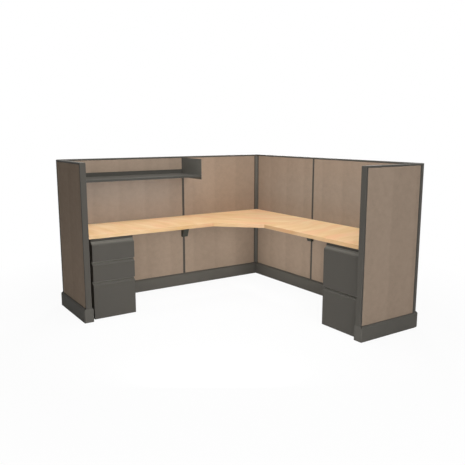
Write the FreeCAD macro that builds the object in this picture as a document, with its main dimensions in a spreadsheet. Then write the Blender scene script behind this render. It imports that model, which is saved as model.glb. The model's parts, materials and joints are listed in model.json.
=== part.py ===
import FreeCAD, Part
import os
from types import SimpleNamespace

import Sketcher
from FreeCAD import Placement, Rotation, Vector

# An L-shaped cubicle workstation: two panel walls that meet at a corner, a short wing at each
# outer end, three worktops, an open shelf and two drawer pedestals.
# Frame: origin on the floor at the middle of the footprint, +Z up, the corner at +X +Y.
# The station opens towards -X and -Y. All sizes are in millimetres.

doc = FreeCAD.newDocument("cubicle_workstation")
sizes = doc.addObject("Spreadsheet::Sheet", "sizes")
nodes = {}


# The driving dimensions, in millimetres
values = {
    # Panels and their posts
    "panel_height": 1344,  # floor to the top of the caps
    "panel_thick": 50.8,  # panel over both skins
    "wide_module": 1219.2,  # length of a wide panel
    "narrow_module": 914.4,  # length of a narrow panel
    "wing_module": 609.6,  # length of a wing panel
    "corner_reach": 19.05,  # post face beyond the end of a panel
    "skin_thick": 9.4,  # fabric covered tile
    "skin_round": 2.5,  # rounding round the face of a tile
    "skin_gap": 1,  # tile above the base covers
    "stile_show": 11.8,  # upright seen beside a tile
    "stile_wide": 25,  # whole width of an upright
    "nose_recess": 3,  # upright behind the face of the tiles
    "tube_wall": 1.6,  # wall of frame tubes and posts
    "head_wall": 3,  # closed top of an upright
    "rail_tall": 30,  # height of the top and bottom rails
    "floor_rail_tall": 18,  # height of the rail at the floor
    "cap_tall": 14,  # height of a top cap
    "cap_wall": 2,  # wall of a top cap
    "cap_round": 1.8,  # rounding along a top cap
    "cap_room": 8,  # top of the frames below the top of the caps
    "end_trim_thick": 9.5,  # trim on the free end of a wing
    "end_round": 3,  # rounding of an end trim
    "post_wide": 24,  # arm of a corner post
    "cover_wall": 4,  # wall of a round corner cover
    # Base covers
    "base_height": 125,  # top of the base covers
    "base_proud": 16,  # base cover in front of the panel face
    "base_wall": 2,  # wall of a base cover
    "base_slope": 12,  # height of the sloping top of a base cover
    "base_lip": 2,  # top edge of the slope in front of the panel face
    "base_lift": 2.5,  # base cover above the floor
    "base_gap": 0.3,  # joint between base covers
    "base_end_round": 9,  # corners of a base end cap
    # Levelling glides
    "glide_radius": 16,  # foot of a glide
    "glide_neck": 9,  # top of the foot of a glide
    "glide_rim": 2,  # upright rim of a foot
    "glide_tall": 4,  # height of the foot
    "stem_radius": 4,  # threaded stem of a glide
    "stem_long": 12,  # stem above the foot
    "stem_room": 0.4,  # clearance round a stem or screw
    "glide_inset": 70,  # glide from the end of a panel
    # Link plates between frames
    "link_long": 22,  # link plate over one frame
    "link_wide": 22,  # width of a link plate
    "link_thick": 2.5,  # thickness of a link plate
    "link_screw_inset": 9,  # screw from the joint between frames
    "screw_radius": 2,  # shank of a screw
    "screw_head_radius": 4,  # head of a screw
    "screw_head_tall": 2.4,  # height of a screw head
    "screw_long": 16,  # shank below the head
    # Worktops
    "worktop_height": 736.6,  # floor to the top of the worktops
    "worktop_thick": 32,  # thickness of a worktop
    "worktop_reach": 592,  # front edge from the face of the panels
    "worktop_back_gap": 2,  # worktop from the panel behind it
    "worktop_joint": 0.4,  # joint between two worktops
    "worktop_round": 2,  # rounding along the edges of a worktop
    # Worktop supports
    "bracket_long": 440,  # reach of a seam bracket
    "bracket_wide": 58,  # width of a seam bracket
    "bracket_wall": 3,  # sheet of the brackets
    "bracket_deep": 186,  # height of a seam bracket at the panel
    "bracket_heel": 28,  # flat foot of a seam bracket
    "bracket_knee_out": 58,  # knee of a seam bracket from the panel
    "bracket_knee_down": 112,  # knee below the worktop
    "bracket_arm_out": 110,  # start of the arm from the panel
    "bracket_arm_down": 66,  # start of the arm below the worktop
    "bracket_tip": 18,  # height of the arm at its tip
    "hook_clear": 0.8,  # bracket hook beside the tiles
    "angle_leg": 32,  # leg of an angle bracket
    "wing_angle_long": 420,  # length of a wing angle
    "wing_angle_start": 90,  # wing angle from the panel behind it
    "corner_plate_long": 260,  # side of the corner bracket
    "splice_long": 120,  # length of a splice plate
    "splice_wide": 50,  # width of a splice plate
    "splice_inset": 22,  # splice plate from the front edge
    "splice_screw_inset": 16,  # screw from the end of a plate
    # Shelf
    "shelf_reach": 377,  # front of the shelf from the panel face
    "shelf_drop": 166,  # top of the shelf below the top of the caps
    "shelf_lip": 19,  # height of the front lip of the shelf
    "shelf_return": 16,  # lip turned back under the shelf
    "shelf_upstand": 38,  # upstand along the back of the shelf
    "shelf_sheet": 1.5,  # sheet of the shelf
    "shelf_round": 1.2,  # rounding along the lip
    "end_sheet": 2,  # sheet of a shelf end
    "end_rise": 154,  # shelf end above the top of the shelf
    "end_drop": 43,  # shelf end below the top of the shelf
    "end_ledge": 22,  # ledge that carries the shelf
    "end_set": 4,  # shelf end from the joint between panels
    "end_hook_inset": 12,  # hooks of a shelf end from its top and bottom
    # Pedestals: the two box drawers over a file drawer, and two file drawers
    "pedestal_wide": 381,  # width of a pedestal
    "pedestal_front": 598,  # drawer fronts from the panel face
    "pedestal_wing_gap": 35.7,  # gap between a pedestal and the wing beside it
    "pedestal_back_gap": 24,  # back of a pedestal from the panel face
    "case_sheet": 1.5,  # sheet of a pedestal case
    "front_thick": 28,  # depth of a drawer front
    "front_sheet": 2,  # sheet of a drawer front
    "front_window": 40,  # opening behind a front from its edges
    "front_gap": 3,  # gap between drawer fronts
    "front_side_gap": 1,  # drawer front inside the side of its case
    "front_bottom": 7,  # lowest drawer front above the floor
    "front_clear": 0.5,  # running gap behind a drawer front
    "box_front_tall": 171,  # height of a box drawer front
    "header_tall": 24.6,  # rail over the drawer fronts
    "pull_ledge": 10,  # upright top edge of a pull
    "pull_back": 24.5,  # top edge of a pull behind the front
    "pull_slope": 30,  # foot of the sloping pull below the top edge
    "pull_round": 8,  # rounding at the foot of a pull
    "slide_space": 12.7,  # room for a slide beside a drawer
    "drawer_long": 510,  # depth of a drawer box
    "drawer_sheet": 1.5,  # sheet of a drawer box
    "drawer_lift": 12,  # drawer box above the foot of its front
    "box_drawer_drop": 59,  # side of a box drawer lower than its front is tall
    "file_drawer_drop": 67,  # side of a file drawer lower than its front is tall
    "upper_drawer_drop": 87,  # side of the upper file drawer lower than its front is tall
    "slide_long": 490,  # length of a slide channel
    "slide_tall": 45,  # height of a slide channel
    "slide_sheet": 1.5,  # sheet of the slides
    "slide_clear": 0.5,  # running gap between the parts of a slide
    "slide_lift": 34,  # middle of a slide above the foot of its drawer
    "slide_set": 4,  # slide behind the front of the case
    "hanger_tall": 16,  # height of a folder rail
    "hanger_thick": 2,  # thickness of a folder rail
    "hanger_rise": 6,  # folder rail above the side of its drawer
    "hanger_inset": 20,  # folder rail from the ends of its drawer
    # Cuts run this far past the solid that they open
    "overrun": 5,  # tools past the faces that they cut
    # Edges to round are found by their place, to within this
    "pick_reach": 0.04,  # an edge from the place where it is looked for
}

for row, (alias, value) in enumerate(values.items(), 1):
    sizes.set(f"A{row}", alias)
    sizes.set(f"B{row}", str(value))
    sizes.setAlias(f"B{row}", alias)
doc.recompute()


# A size is a value and the sheet expression that gives it, so sums of sizes stay bound.
class Size:
    def __init__(self, value, text):
        self.value = value
        self.text = text

    def __add__(self, other):
        return Size(self.value + number(other), f"({self.text} + {words(other)})")

    def __radd__(self, other):
        return Size(number(other) + self.value, f"({words(other)} + {self.text})")

    def __sub__(self, other):
        return Size(self.value - number(other), f"({self.text} - {words(other)})")

    def __rsub__(self, other):
        return Size(number(other) - self.value, f"({words(other)} - {self.text})")

    def __mul__(self, other):
        return Size(self.value * number(other), f"({self.text} * {words(other)})")

    def __rmul__(self, other):
        return Size(number(other) * self.value, f"({words(other)} * {self.text})")

    def __truediv__(self, other):
        return Size(self.value / number(other), f"({self.text} / {words(other)})")

    def __neg__(self):
        return Size(-self.value, f"(-1 * {self.text})")


def number(size):
    return size.value if isinstance(size, Size) else float(size)


def words(size):
    return size.text if isinstance(size, Size) else str(float(size))


# The sheet's rows as sizes: dim.panel_height and so on
dim = SimpleNamespace(**{alias: Size(float(value), f"sizes.{alias}") for alias, value in values.items()})

# Sums that several pieces share
wall_run = 2 * dim.corner_reach + dim.wide_module + dim.narrow_module
half_span = (wall_run + 2 * dim.panel_thick + 2 * dim.base_proud) / 2
inner = half_span - dim.panel_thick - dim.base_proud
seam_place = dim.corner_reach + dim.narrow_module
frame_top = dim.panel_height - dim.cap_room
cap_foot = dim.panel_height - dim.cap_tall
skin_low = dim.base_height + dim.skin_gap
worktop_under = dim.worktop_height - dim.worktop_thick
post_round = dim.panel_thick + dim.corner_reach


# Drawing helpers
def bind(item, prop, size):
    if isinstance(size, Size):
        item.setExpression(prop, size.text)
    elif size != 0:
        raise ValueError(f"{item.Label}: {prop} has a bare length")


def place(item, spot, turn=0):
    item.Placement = Placement(Vector(0, 0, 0), Rotation(Vector(0, 0, 1), turn))
    for axis, size in zip("xyz", spot):
        bind(item, f"Placement.Base.{axis}", size)
    return item


def box(name, low, high):
    item = doc.addObject("Part::Box", name)
    for prop, start, end in zip(("Length", "Width", "Height"), low, high):
        bind(item, prop, end - start)
    return place(item, low)


def cylinder(name, radius, low, tall):
    item = doc.addObject("Part::Cylinder", name)
    bind(item, "Radius", radius)
    bind(item, "Height", tall)
    return place(item, low)


def join(name, parts):
    item = doc.addObject("Part::MultiFuse", name)
    item.Shapes = parts
    return item


def carve(name, base, tools):
    item = doc.addObject("Part::Cut", name)
    item.Base = base
    item.Tool = tools[0] if len(tools) == 1 else join(f"{name}_tools", tools)
    return item


# A node is a sub-part: one solid, or several alike that share a name.
def node(label, parts):
    if len(parts) == 1:
        item = parts[0]
    else:
        item = doc.addObject("Part::Compound", f"{label}_set")
        item.Links = parts
    item.Label = label
    nodes[label] = item
    return item


def start_body(name):
    return doc.addObject("PartDesign::Body", name)


def origin_plane(body, role):
    return next(plane for plane in body.Origin.OriginFeatures if plane.Role == role)


# A closed outline of straight runs; each corner is held by its two distances from the origin.
def outline(body, name, role, points):
    sketch = body.newObject("Sketcher::SketchObject", name)
    sketch.AttachmentSupport = [(origin_plane(body, role), "")]
    sketch.MapMode = "FlatFace"
    spots = [Vector(number(across), number(up), 0) for across, up in points]
    count = len(spots)
    for index in range(count):
        sketch.addGeometry(Part.LineSegment(spots[index], spots[(index + 1) % count]), False)
    for index in range(count):
        after = (index + 1) % count
        sketch.addConstraint(Sketcher.Constraint("Coincident", index, 2, after, 1))
    for index, point in enumerate(points):
        for kind, size in zip(("DistanceX", "DistanceY"), point):
            rule = Sketcher.Constraint(kind, -1, 1, index, 1, number(size))
            place_of_rule = sketch.addConstraint(rule)
            if isinstance(size, Size):
                sketch.setExpression(f"Constraints[{place_of_rule}]", size.text)
    return sketch


def pad(body, name, sketch, length):
    item = body.newObject("PartDesign::Pad", name)
    item.Profile = sketch
    bind(item, "Length", length)
    return item


# Edges of a shape whose middle passes a test
def edges_where(shape, test):
    found = []
    for index, edge in enumerate(shape.Edges):
        middle = edge.valueAt((edge.FirstParameter + edge.LastParameter) / 2)
        if test(edge, middle):
            found.append(f"Edge{index + 1}")
    return found


def near(here, there):
    return abs(here - number(there)) < number(dim.pick_reach)


def along(edge, axis):
    ends = [vertex.Point for vertex in edge.Vertexes]
    if len(ends) < 2:
        return False
    run = ends[1] - ends[0]
    others = [abs(value) for name, value in zip("xyz", run) if name != axis]
    return max(others) < number(dim.pick_reach)


def round_body(body, name, base, radius, test):
    doc.recompute()
    item = body.newObject("PartDesign::Fillet", name)
    item.Base = (base, edges_where(base.Shape, test))
    bind(item, "Radius", radius)
    return item


def round_item(name, base, radius, test):
    doc.recompute()
    item = doc.addObject("Part::Fillet", name)
    item.Base = base
    picked = edges_where(base.Shape, test)
    item.Edges = [(int(edge[4:]), radius.value, radius.value) for edge in picked]
    return item


# A panel's own frame: x along it from its start, y through it from its inner face, z up.
class Panel:
    def __init__(self, name, module, turn, start):
        self.name = name
        self.module = module
        self.turn = turn
        self.start = start

    def spot(self, along_panel, through, up):
        turned = {
            0: (along_panel, through),
            90: (-through, along_panel),
            -90: (through, -along_panel),
            180: (-along_panel, -through),
        }[self.turn]
        return (self.start[0] + turned[0], self.start[1] + turned[1], up)

    def put(self, item, along_panel=0, through=0, up=0, half_turn=0):
        turn = self.turn + half_turn
        return place(item, self.spot(along_panel, through, up), turn)


wing_start = inner - dim.corner_reach - dim.wing_module
left_wing = Panel("left_wing", dim.wing_module, 90, (inner - wall_run, wing_start))
back_wide = Panel("back_wide", dim.wide_module, 0, (inner - wall_run + dim.corner_reach, inner))
back_narrow = Panel("back_narrow", dim.narrow_module, 0, (inner - seam_place, inner))
side_narrow = Panel("side_narrow", dim.narrow_module, -90, (inner, inner - dim.corner_reach))
side_wide = Panel("side_wide", dim.wide_module, -90, (inner, inner - seam_place))
right_wing = Panel("right_wing", dim.wing_module, 180, (inner - dim.corner_reach, inner - wall_run))
panels = [left_wing, back_wide, back_narrow, side_narrow, side_wide, right_wing]
wings = [left_wing, right_wing]
narrows = [back_narrow, side_narrow]
wides = [back_wide, side_wide]


# Panel frame: two hollow uprights with a standing nose for brackets, and three open rails
def panel_frame(panel):
    name = panel.name
    far = panel.module
    depth = dim.panel_thick - dim.skin_thick
    nose_far = dim.panel_thick - dim.nose_recess
    steel = []
    hollow = []
    uprights = (
        ("start", (0, dim.stile_show), (0, dim.stile_wide)),
        ("end", (far - dim.stile_show, far), (far - dim.stile_wide, far)),
    )
    for side, (low, high), tube in uprights:
        nose = box(f"{name}_{side}_nose", (low, dim.nose_recess, dim.glide_tall), (high, nose_far, frame_top))
        steel.append(nose)
        low, high = tube
        body = box(f"{name}_{side}_tube", (low, dim.skin_thick, dim.glide_tall), (high, depth, frame_top))
        steel.append(body)
        hollow.append(
            box(
                f"{name}_{side}_bore",
                (low + dim.tube_wall, dim.skin_thick + dim.tube_wall, dim.glide_tall - dim.overrun),
                (high - dim.tube_wall, depth - dim.tube_wall, frame_top - dim.head_wall),
            )
        )
    rail_ends = (dim.stile_wide - dim.tube_wall, far - dim.stile_wide + dim.tube_wall)
    rails = (
        ("top", frame_top - dim.rail_tall, dim.rail_tall, -dim.overrun, dim.rail_tall - dim.tube_wall),
        ("base", dim.base_height - dim.rail_tall, dim.rail_tall, dim.tube_wall, dim.rail_tall + dim.overrun),
        ("floor", dim.glide_tall, dim.floor_rail_tall, dim.tube_wall, dim.floor_rail_tall + dim.overrun),
    )
    for rail, low, tall, open_low, open_high in rails:
        high = low + tall
        start, end = rail_ends
        steel.append(box(f"{name}_{rail}_rail", (start, dim.skin_thick, low), (end, depth, high)))
        hollow.append(
            box(
                f"{name}_{rail}_channel",
                (dim.stile_wide, dim.skin_thick + dim.tube_wall, low + open_low),
                (far - dim.stile_wide, depth - dim.tube_wall, low + open_high),
            )
        )
    for spot in (dim.glide_inset, far - dim.glide_inset):
        hollow.append(
            cylinder(
                f"{name}_glide_hole",
                dim.stem_radius + dim.stem_room,
                (spot, dim.panel_thick / 2, dim.glide_tall - dim.overrun),
                dim.tube_wall + 2 * dim.overrun,
            )
        )
    frame = carve(f"{name}_frame_steel", join(f"{name}_frame_blank", steel), hollow)
    panel.put(frame)
    return frame


def board(panel):
    low = (dim.stile_wide, dim.skin_thick, dim.base_height)
    high = (panel.module - dim.stile_wide, dim.panel_thick - dim.skin_thick, frame_top - dim.rail_tall)
    item = box(f"{panel.name}_board", low, high)
    return panel.put(item, dim.stile_wide, dim.skin_thick, dim.base_height)


# Fabric covered tile: its outer face has a small rounding all round
def skin(panel, side):
    name = f"{panel.name}_{side}_skin"
    far = (panel.module - 2 * dim.stile_show, dim.skin_thick, cap_foot - skin_low)
    blank = box(f"{name}_blank", (0, 0, 0), far)
    item = round_item(name, blank, dim.skin_round, lambda edge, middle: near(middle.y, 0))
    if side == "inner":
        return panel.put(item, dim.stile_show, 0, skin_low)
    return panel.put(item, panel.module - dim.stile_show, dim.panel_thick, skin_low, 180)


# Section of a base cover, as distance in front of the panel face and height
def cover_section():
    back = dim.nose_recess
    return [
        (-dim.base_proud, dim.base_lift),
        (-dim.base_proud, dim.base_height - dim.base_slope),
        (-dim.base_lip, dim.base_height),
        (back, dim.base_height),
        (back, dim.base_height - dim.base_wall),
        (-dim.base_lip - dim.base_wall / 4, dim.base_height - dim.base_wall),
        (dim.base_wall - dim.base_proud, dim.base_height - dim.base_slope - dim.base_wall / 2),
        (dim.base_wall - dim.base_proud, dim.base_lift),
    ]


def base_cover(panel, side, start, end):
    body = start_body(f"{panel.name}_{side}_cover")
    sketch = outline(body, f"{panel.name}_{side}_section", "YZ_Plane", cover_section())
    pad(body, f"{panel.name}_{side}_run", sketch, end - start)
    if side == "inner":
        return panel.put(body, start)
    return panel.put(body, end, dim.panel_thick, 0, 180)


def top_cap(panel):
    body = start_body(f"{panel.name}_cap")
    points = [
        (0, cap_foot),
        (0, dim.panel_height),
        (dim.panel_thick, dim.panel_height),
        (dim.panel_thick, cap_foot),
        (dim.panel_thick - dim.cap_wall, cap_foot),
        (dim.panel_thick - dim.cap_wall, dim.panel_height - dim.cap_wall),
        (dim.cap_wall, dim.panel_height - dim.cap_wall),
        (dim.cap_wall, cap_foot),
    ]
    sketch = outline(body, f"{panel.name}_cap_section", "YZ_Plane", points)
    run = pad(body, f"{panel.name}_cap_run", sketch, panel.module)
    round_body(
        body,
        f"{panel.name}_cap_edges",
        run,
        dim.cap_round,
        lambda edge, middle: along(edge, "x") and near(middle.z, dim.panel_height),
    )
    return panel.put(body)


for panel in panels:
    node(f"{panel.name}_frame", [panel_frame(panel)])
node("acoustic_boards", [board(panel) for panel in panels])
for label, family in (("wing_skins", wings), ("narrow_skins", narrows), ("wide_skins", wides)):
    node(label, [skin(panel, side) for panel in family for side in ("inner", "outer")])

# At each inner corner one cover runs into the corner and the other stops against it.
into_corner = dim.corner_reach + dim.nose_recess - dim.base_gap
to_corner = dim.corner_reach - dim.base_proud - dim.base_gap
cover_ends = {
    "left_wing": (0, dim.wing_module + to_corner),
    "back_wide": (-into_corner, dim.wide_module - dim.base_gap),
    "back_narrow": (dim.base_gap, dim.narrow_module + into_corner),
    "side_narrow": (-to_corner, dim.narrow_module - dim.base_gap),
    "side_wide": (dim.base_gap, dim.wide_module + into_corner),
    "right_wing": (-to_corner, dim.wing_module),
}
cover_families = (("wing_base_covers", wings), ("narrow_base_covers", narrows), ("wide_base_covers", wides))
for label, family in cover_families:
    covers = []
    for panel in family:
        start, end = cover_ends[panel.name]
        covers.append(base_cover(panel, "inner", start, end))
        covers.append(base_cover(panel, "outer", dim.base_gap, panel.module - dim.base_gap))
    node(label, covers)
node("top_caps", [top_cap(panel) for panel in panels])

# Each corner's own frame: origin where the two inner faces meet, panels towards -x and -y
corners = [
    ("left", (inner - wall_run, inner), 90),
    ("back", (inner, inner), 0),
    ("right", (inner, inner - wall_run), -90),
]


# Post: a hollow L behind the two inner faces
def corner_post(name, spot, turn):
    body = start_body(f"{name}_post")
    outside = dim.nose_recess + dim.post_wide
    points = [
        (-dim.corner_reach, dim.nose_recess),
        (dim.nose_recess, dim.nose_recess),
        (dim.nose_recess, -dim.corner_reach),
        (outside, -dim.corner_reach),
        (outside, outside),
        (-dim.corner_reach, outside),
    ]
    sketch = outline(body, f"{name}_post_section", "XY_Plane", points)
    pad(body, f"{name}_post_run", sketch, frame_top - dim.glide_tall)
    inside = [
        (dim.tube_wall - dim.corner_reach, dim.nose_recess + dim.tube_wall),
        (dim.nose_recess + dim.tube_wall, dim.nose_recess + dim.tube_wall),
        (dim.nose_recess + dim.tube_wall, dim.tube_wall - dim.corner_reach),
        (outside - dim.tube_wall, dim.tube_wall - dim.corner_reach),
        (outside - dim.tube_wall, outside - dim.tube_wall),
        (dim.tube_wall - dim.corner_reach, outside - dim.tube_wall),
    ]
    bore_body = start_body(f"{name}_post_bore")
    sketch = outline(bore_body, f"{name}_post_hollow", "XY_Plane", inside)
    pad(bore_body, f"{name}_post_bore_run", sketch, frame_top - dim.glide_tall - dim.head_wall + dim.overrun)
    place(bore_body, (0, 0, -dim.overrun))
    post = carve(f"{name}_post_tube", body, [bore_body])
    return place(post, (spot[0], spot[1], dim.glide_tall), turn)


# A quarter of a cylinder about the inner end of the post
def quarter(name, radius, low, high):
    item = cylinder(name, radius, (-dim.corner_reach, -dim.corner_reach, low), high - low)
    item.Angle = 90
    return item


def post_cover(name, spot, turn):
    outer = quarter(f"{name}_cover_outer", post_round, dim.base_height, cap_foot)
    bore = cylinder(
        f"{name}_cover_bore",
        post_round - dim.cover_wall,
        (-dim.corner_reach, -dim.corner_reach, dim.base_height - dim.overrun),
        cap_foot - dim.base_height + 2 * dim.overrun,
    )
    return place(carve(f"{name}_round_cover", outer, [bore]), (spot[0], spot[1], 0), turn)


def corner_cap(name, spot, turn):
    outer = quarter(f"{name}_cap_outer", post_round, cap_foot, dim.panel_height)
    hollow_top = dim.panel_height - dim.cap_wall
    hollow = quarter(f"{name}_cap_hollow", post_round - dim.cap_wall, cap_foot - dim.overrun, hollow_top)
    slab = box(
        f"{name}_cap_notch",
        (-dim.corner_reach - dim.overrun, -dim.corner_reach - dim.overrun, cap_foot - dim.overrun),
        (0, 0, dim.panel_height + dim.overrun),
    )
    guard = box(
        f"{name}_cap_guard",
        (-dim.corner_reach - dim.overrun, -dim.corner_reach - dim.overrun, cap_foot - 2 * dim.overrun),
        (dim.cap_wall, dim.cap_wall, dim.panel_height + dim.overrun),
    )
    room = carve(f"{name}_cap_room", hollow, [guard])
    return place(carve(f"{name}_corner_cap_shell", outer, [slab, room]), (spot[0], spot[1], 0), turn)


# The base cover's section carried round the corner
def corner_cover(name, spot, turn):
    body = start_body(f"{name}_base_round")
    centre = post_round
    points = [(centre - across, up) for across, up in cover_section()]
    sketch = outline(body, f"{name}_base_round_section", "XZ_Plane", points)
    item = body.newObject("PartDesign::Revolution", f"{name}_base_round_turn")
    item.Profile = sketch
    item.ReferenceAxis = (sketch, ["V_Axis"])
    item.Angle = 90
    doc.recompute()
    if body.Shape.BoundBox.YMin < -number(dim.overrun):
        item.Reversed = not item.Reversed
    holder = doc.addObject("Part::Compound", f"{name}_base_round_holder")
    holder.Links = [body]
    place(body, (-dim.corner_reach, -dim.corner_reach, 0))
    return place(holder, (spot[0], spot[1], 0), turn)


node("corner_posts", [corner_post(*corner) for corner in corners])
node("corner_post_covers", [post_cover(*corner) for corner in corners])
node("corner_caps", [corner_cap(*corner) for corner in corners])
node("corner_base_covers", [corner_cover(*corner) for corner in corners])

# The free end of a wing, as the place along its panel and the way that it faces
wing_ends = [(left_wing, 0, True), (right_wing, dim.wing_module, False)]


def end_trim(panel, end, at_start):
    name = f"{panel.name}_trim"
    tall = dim.panel_height - dim.base_height
    blank = box(f"{name}_blank", (0, 0, 0), (dim.end_trim_thick, dim.panel_thick, tall))
    item = round_item(
        name,
        blank,
        dim.end_round,
        lambda edge, middle: along(edge, "z") and near(middle.x, dim.end_trim_thick),
    )
    if at_start:
        return panel.put(item, end, dim.panel_thick, dim.base_height, 180)
    return panel.put(item, end, 0, dim.base_height)


# Base end cap: a shell over the ends of the two base covers, under the end trim
def base_end_cap(panel, end, at_start):
    name = f"{panel.name}_base_end"
    wide = dim.panel_thick + 2 * dim.base_proud
    tall = dim.base_height - dim.base_lift
    blank = box(f"{name}_blank", (0, 0, 0), (dim.end_trim_thick, wide, tall))
    corner = round_item(
        f"{name}_round",
        blank,
        dim.base_end_round,
        lambda edge, middle: along(edge, "z") and near(middle.x, dim.end_trim_thick),
    )
    hollow = box(
        f"{name}_hollow",
        (-dim.overrun, 2 * dim.base_wall, -dim.overrun),
        (dim.end_trim_thick - dim.base_wall, wide - 2 * dim.base_wall, tall - dim.base_wall),
    )
    shoulders = []
    shoulder = dim.base_proud - dim.base_lip
    slopes = (("inner", 0, -dim.overrun, shoulder), ("outer", wide, dim.overrun, -shoulder))
    for side, across, away, reach in slopes:
        body = start_body(f"{name}_{side}_shoulder")
        points = [
            (across + away, dim.base_height - dim.base_lift - dim.base_slope),
            (across, dim.base_height - dim.base_lift - dim.base_slope),
            (across + reach, dim.base_height - dim.base_lift),
            (across + reach, dim.base_height + dim.overrun),
            (across + away, dim.base_height + dim.overrun),
        ]
        sketch = outline(body, f"{name}_{side}_slope", "YZ_Plane", points)
        pad(body, f"{name}_{side}_cut", sketch, dim.end_trim_thick + 2 * dim.overrun)
        place(body, (-dim.overrun, 0, 0))
        shoulders.append(body)
    shell = carve(f"{name}_shell", corner, [hollow] + shoulders)
    if at_start:
        return panel.put(shell, end, dim.panel_thick + dim.base_proud, dim.base_lift, 180)
    return panel.put(shell, end, -dim.base_proud, dim.base_lift)


node("end_trims", [end_trim(*wing_end) for wing_end in wing_ends])
node("end_base_caps", [base_end_cap(*wing_end) for wing_end in wing_ends])


# Levelling glide: a turned foot with its stem
def glide(name, spot):
    body = start_body(name)
    points = [
        (0, 0),
        (dim.glide_radius, 0),
        (dim.glide_radius, dim.glide_rim),
        (dim.glide_neck, dim.glide_tall),
        (dim.stem_radius, dim.glide_tall),
        (dim.stem_radius, dim.glide_tall + dim.stem_long),
        (0, dim.glide_tall + dim.stem_long),
    ]
    sketch = outline(body, f"{name}_section", "XZ_Plane", points)
    item = body.newObject("PartDesign::Revolution", f"{name}_turn")
    item.Profile = sketch
    item.ReferenceAxis = (sketch, ["V_Axis"])
    item.Angle = 360
    return place(body, spot)


glides = []
for panel in panels:
    for index, spot in enumerate((dim.glide_inset, panel.module - dim.glide_inset)):
        glides.append(glide(f"{panel.name}_glide_{index}", panel.spot(spot, dim.panel_thick / 2, 0)))


# Clearance hole for a screw through a sheet that starts one overrun above the given low point
def screw_hole(name, low, sheet):
    return cylinder(name, dim.screw_radius + dim.stem_room, low, sheet + 2 * dim.overrun)


# Link plates over the tops of neighbouring frames, each held by two screws
def screw(name, spot, upright=True):
    head_low = 0 if upright else -dim.screw_head_tall
    shank_low = -dim.screw_long if upright else 0
    head = cylinder(f"{name}_head", dim.screw_head_radius, (0, 0, head_low), dim.screw_head_tall)
    shank = cylinder(f"{name}_shank", dim.screw_radius, (0, 0, shank_low), dim.screw_long)
    return place(join(name, [head, shank]), spot)


link_joints = [
    (back_narrow, 0, dim.link_long, dim.link_long),
    (side_wide, 0, dim.link_long, dim.link_long),
    (left_wing, dim.wing_module, dim.link_long, dim.corner_reach),
    (back_wide, 0, dim.corner_reach, dim.link_long),
    (back_narrow, dim.narrow_module, dim.link_long, dim.corner_reach),
    (side_narrow, 0, dim.corner_reach, dim.link_long),
    (side_wide, dim.wide_module, dim.link_long, dim.corner_reach),
    (right_wing, 0, dim.corner_reach, dim.link_long),
]
link_plates = []
link_screws = []
post_middle = dim.nose_recess + dim.post_wide / 2
for index, (panel, spot, before, after) in enumerate(link_joints):
    middle = dim.panel_thick / 2 if before is after else post_middle
    plate = box(f"link_{index}_blank", (0, 0, 0), (before + after, dim.link_wide, dim.link_thick))
    holes = []
    for side, offset in enumerate((-dim.link_screw_inset, dim.link_screw_inset)):
        low = (before + offset, dim.link_wide / 2, -dim.overrun)
        holes.append(screw_hole(f"link_{index}_hole_{side}", low, dim.link_thick))
        seat = panel.spot(spot + offset, middle, frame_top + dim.link_thick)
        link_screws.append(screw(f"link_{index}_screw_{side}", seat))
    plate = carve(f"link_{index}_plate", plate, holes)
    panel.put(plate, spot - before, middle - dim.link_wide / 2, frame_top)
    link_plates.append(plate)
node("link_plates", link_plates)
node("link_screws", link_screws)

# Worktops, laid out from the corner where the inner faces meet
back_edge = inner - dim.worktop_back_gap
front_edge = inner - dim.worktop_reach
seam_edge = inner - seam_place
run_end = inner - wall_run + dim.worktop_back_gap

left_slab = box(
    "left_worktop_slab",
    (run_end, front_edge, worktop_under),
    (seam_edge - dim.worktop_joint / 2, back_edge, dim.worktop_height),
)
right_slab = box(
    "right_worktop_slab",
    (front_edge, run_end, worktop_under),
    (back_edge, seam_edge - dim.worktop_joint / 2, dim.worktop_height),
)
for label, slab in (("left_worktop", left_slab), ("right_worktop", right_slab)):
    edged = round_item(
        f"{label}_edged", slab, dim.worktop_round, lambda edge, middle: near(middle.z, dim.worktop_height)
    )
    node(label, [edged])

corner_top = start_body("corner_worktop_body")
corner_points = [
    (back_edge, back_edge),
    (seam_edge + dim.worktop_joint / 2, back_edge),
    (seam_edge + dim.worktop_joint / 2, front_edge),
    (front_edge, seam_edge + dim.worktop_joint / 2),
    (back_edge, seam_edge + dim.worktop_joint / 2),
]
corner_pad = pad(
    corner_top,
    "corner_worktop_slab",
    outline(corner_top, "corner_worktop_plan", "XY_Plane", corner_points),
    dim.worktop_thick,
)
round_body(
    corner_top,
    "corner_worktop_edges",
    corner_pad,
    dim.worktop_round,
    lambda edge, middle: near(middle.z, dim.worktop_thick),
)
place(corner_top, (0, 0, worktop_under))
node("corner_worktop", [corner_top])

worktop_screws = []
bracket_screw_shares = (0.25, 0.75)


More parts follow.
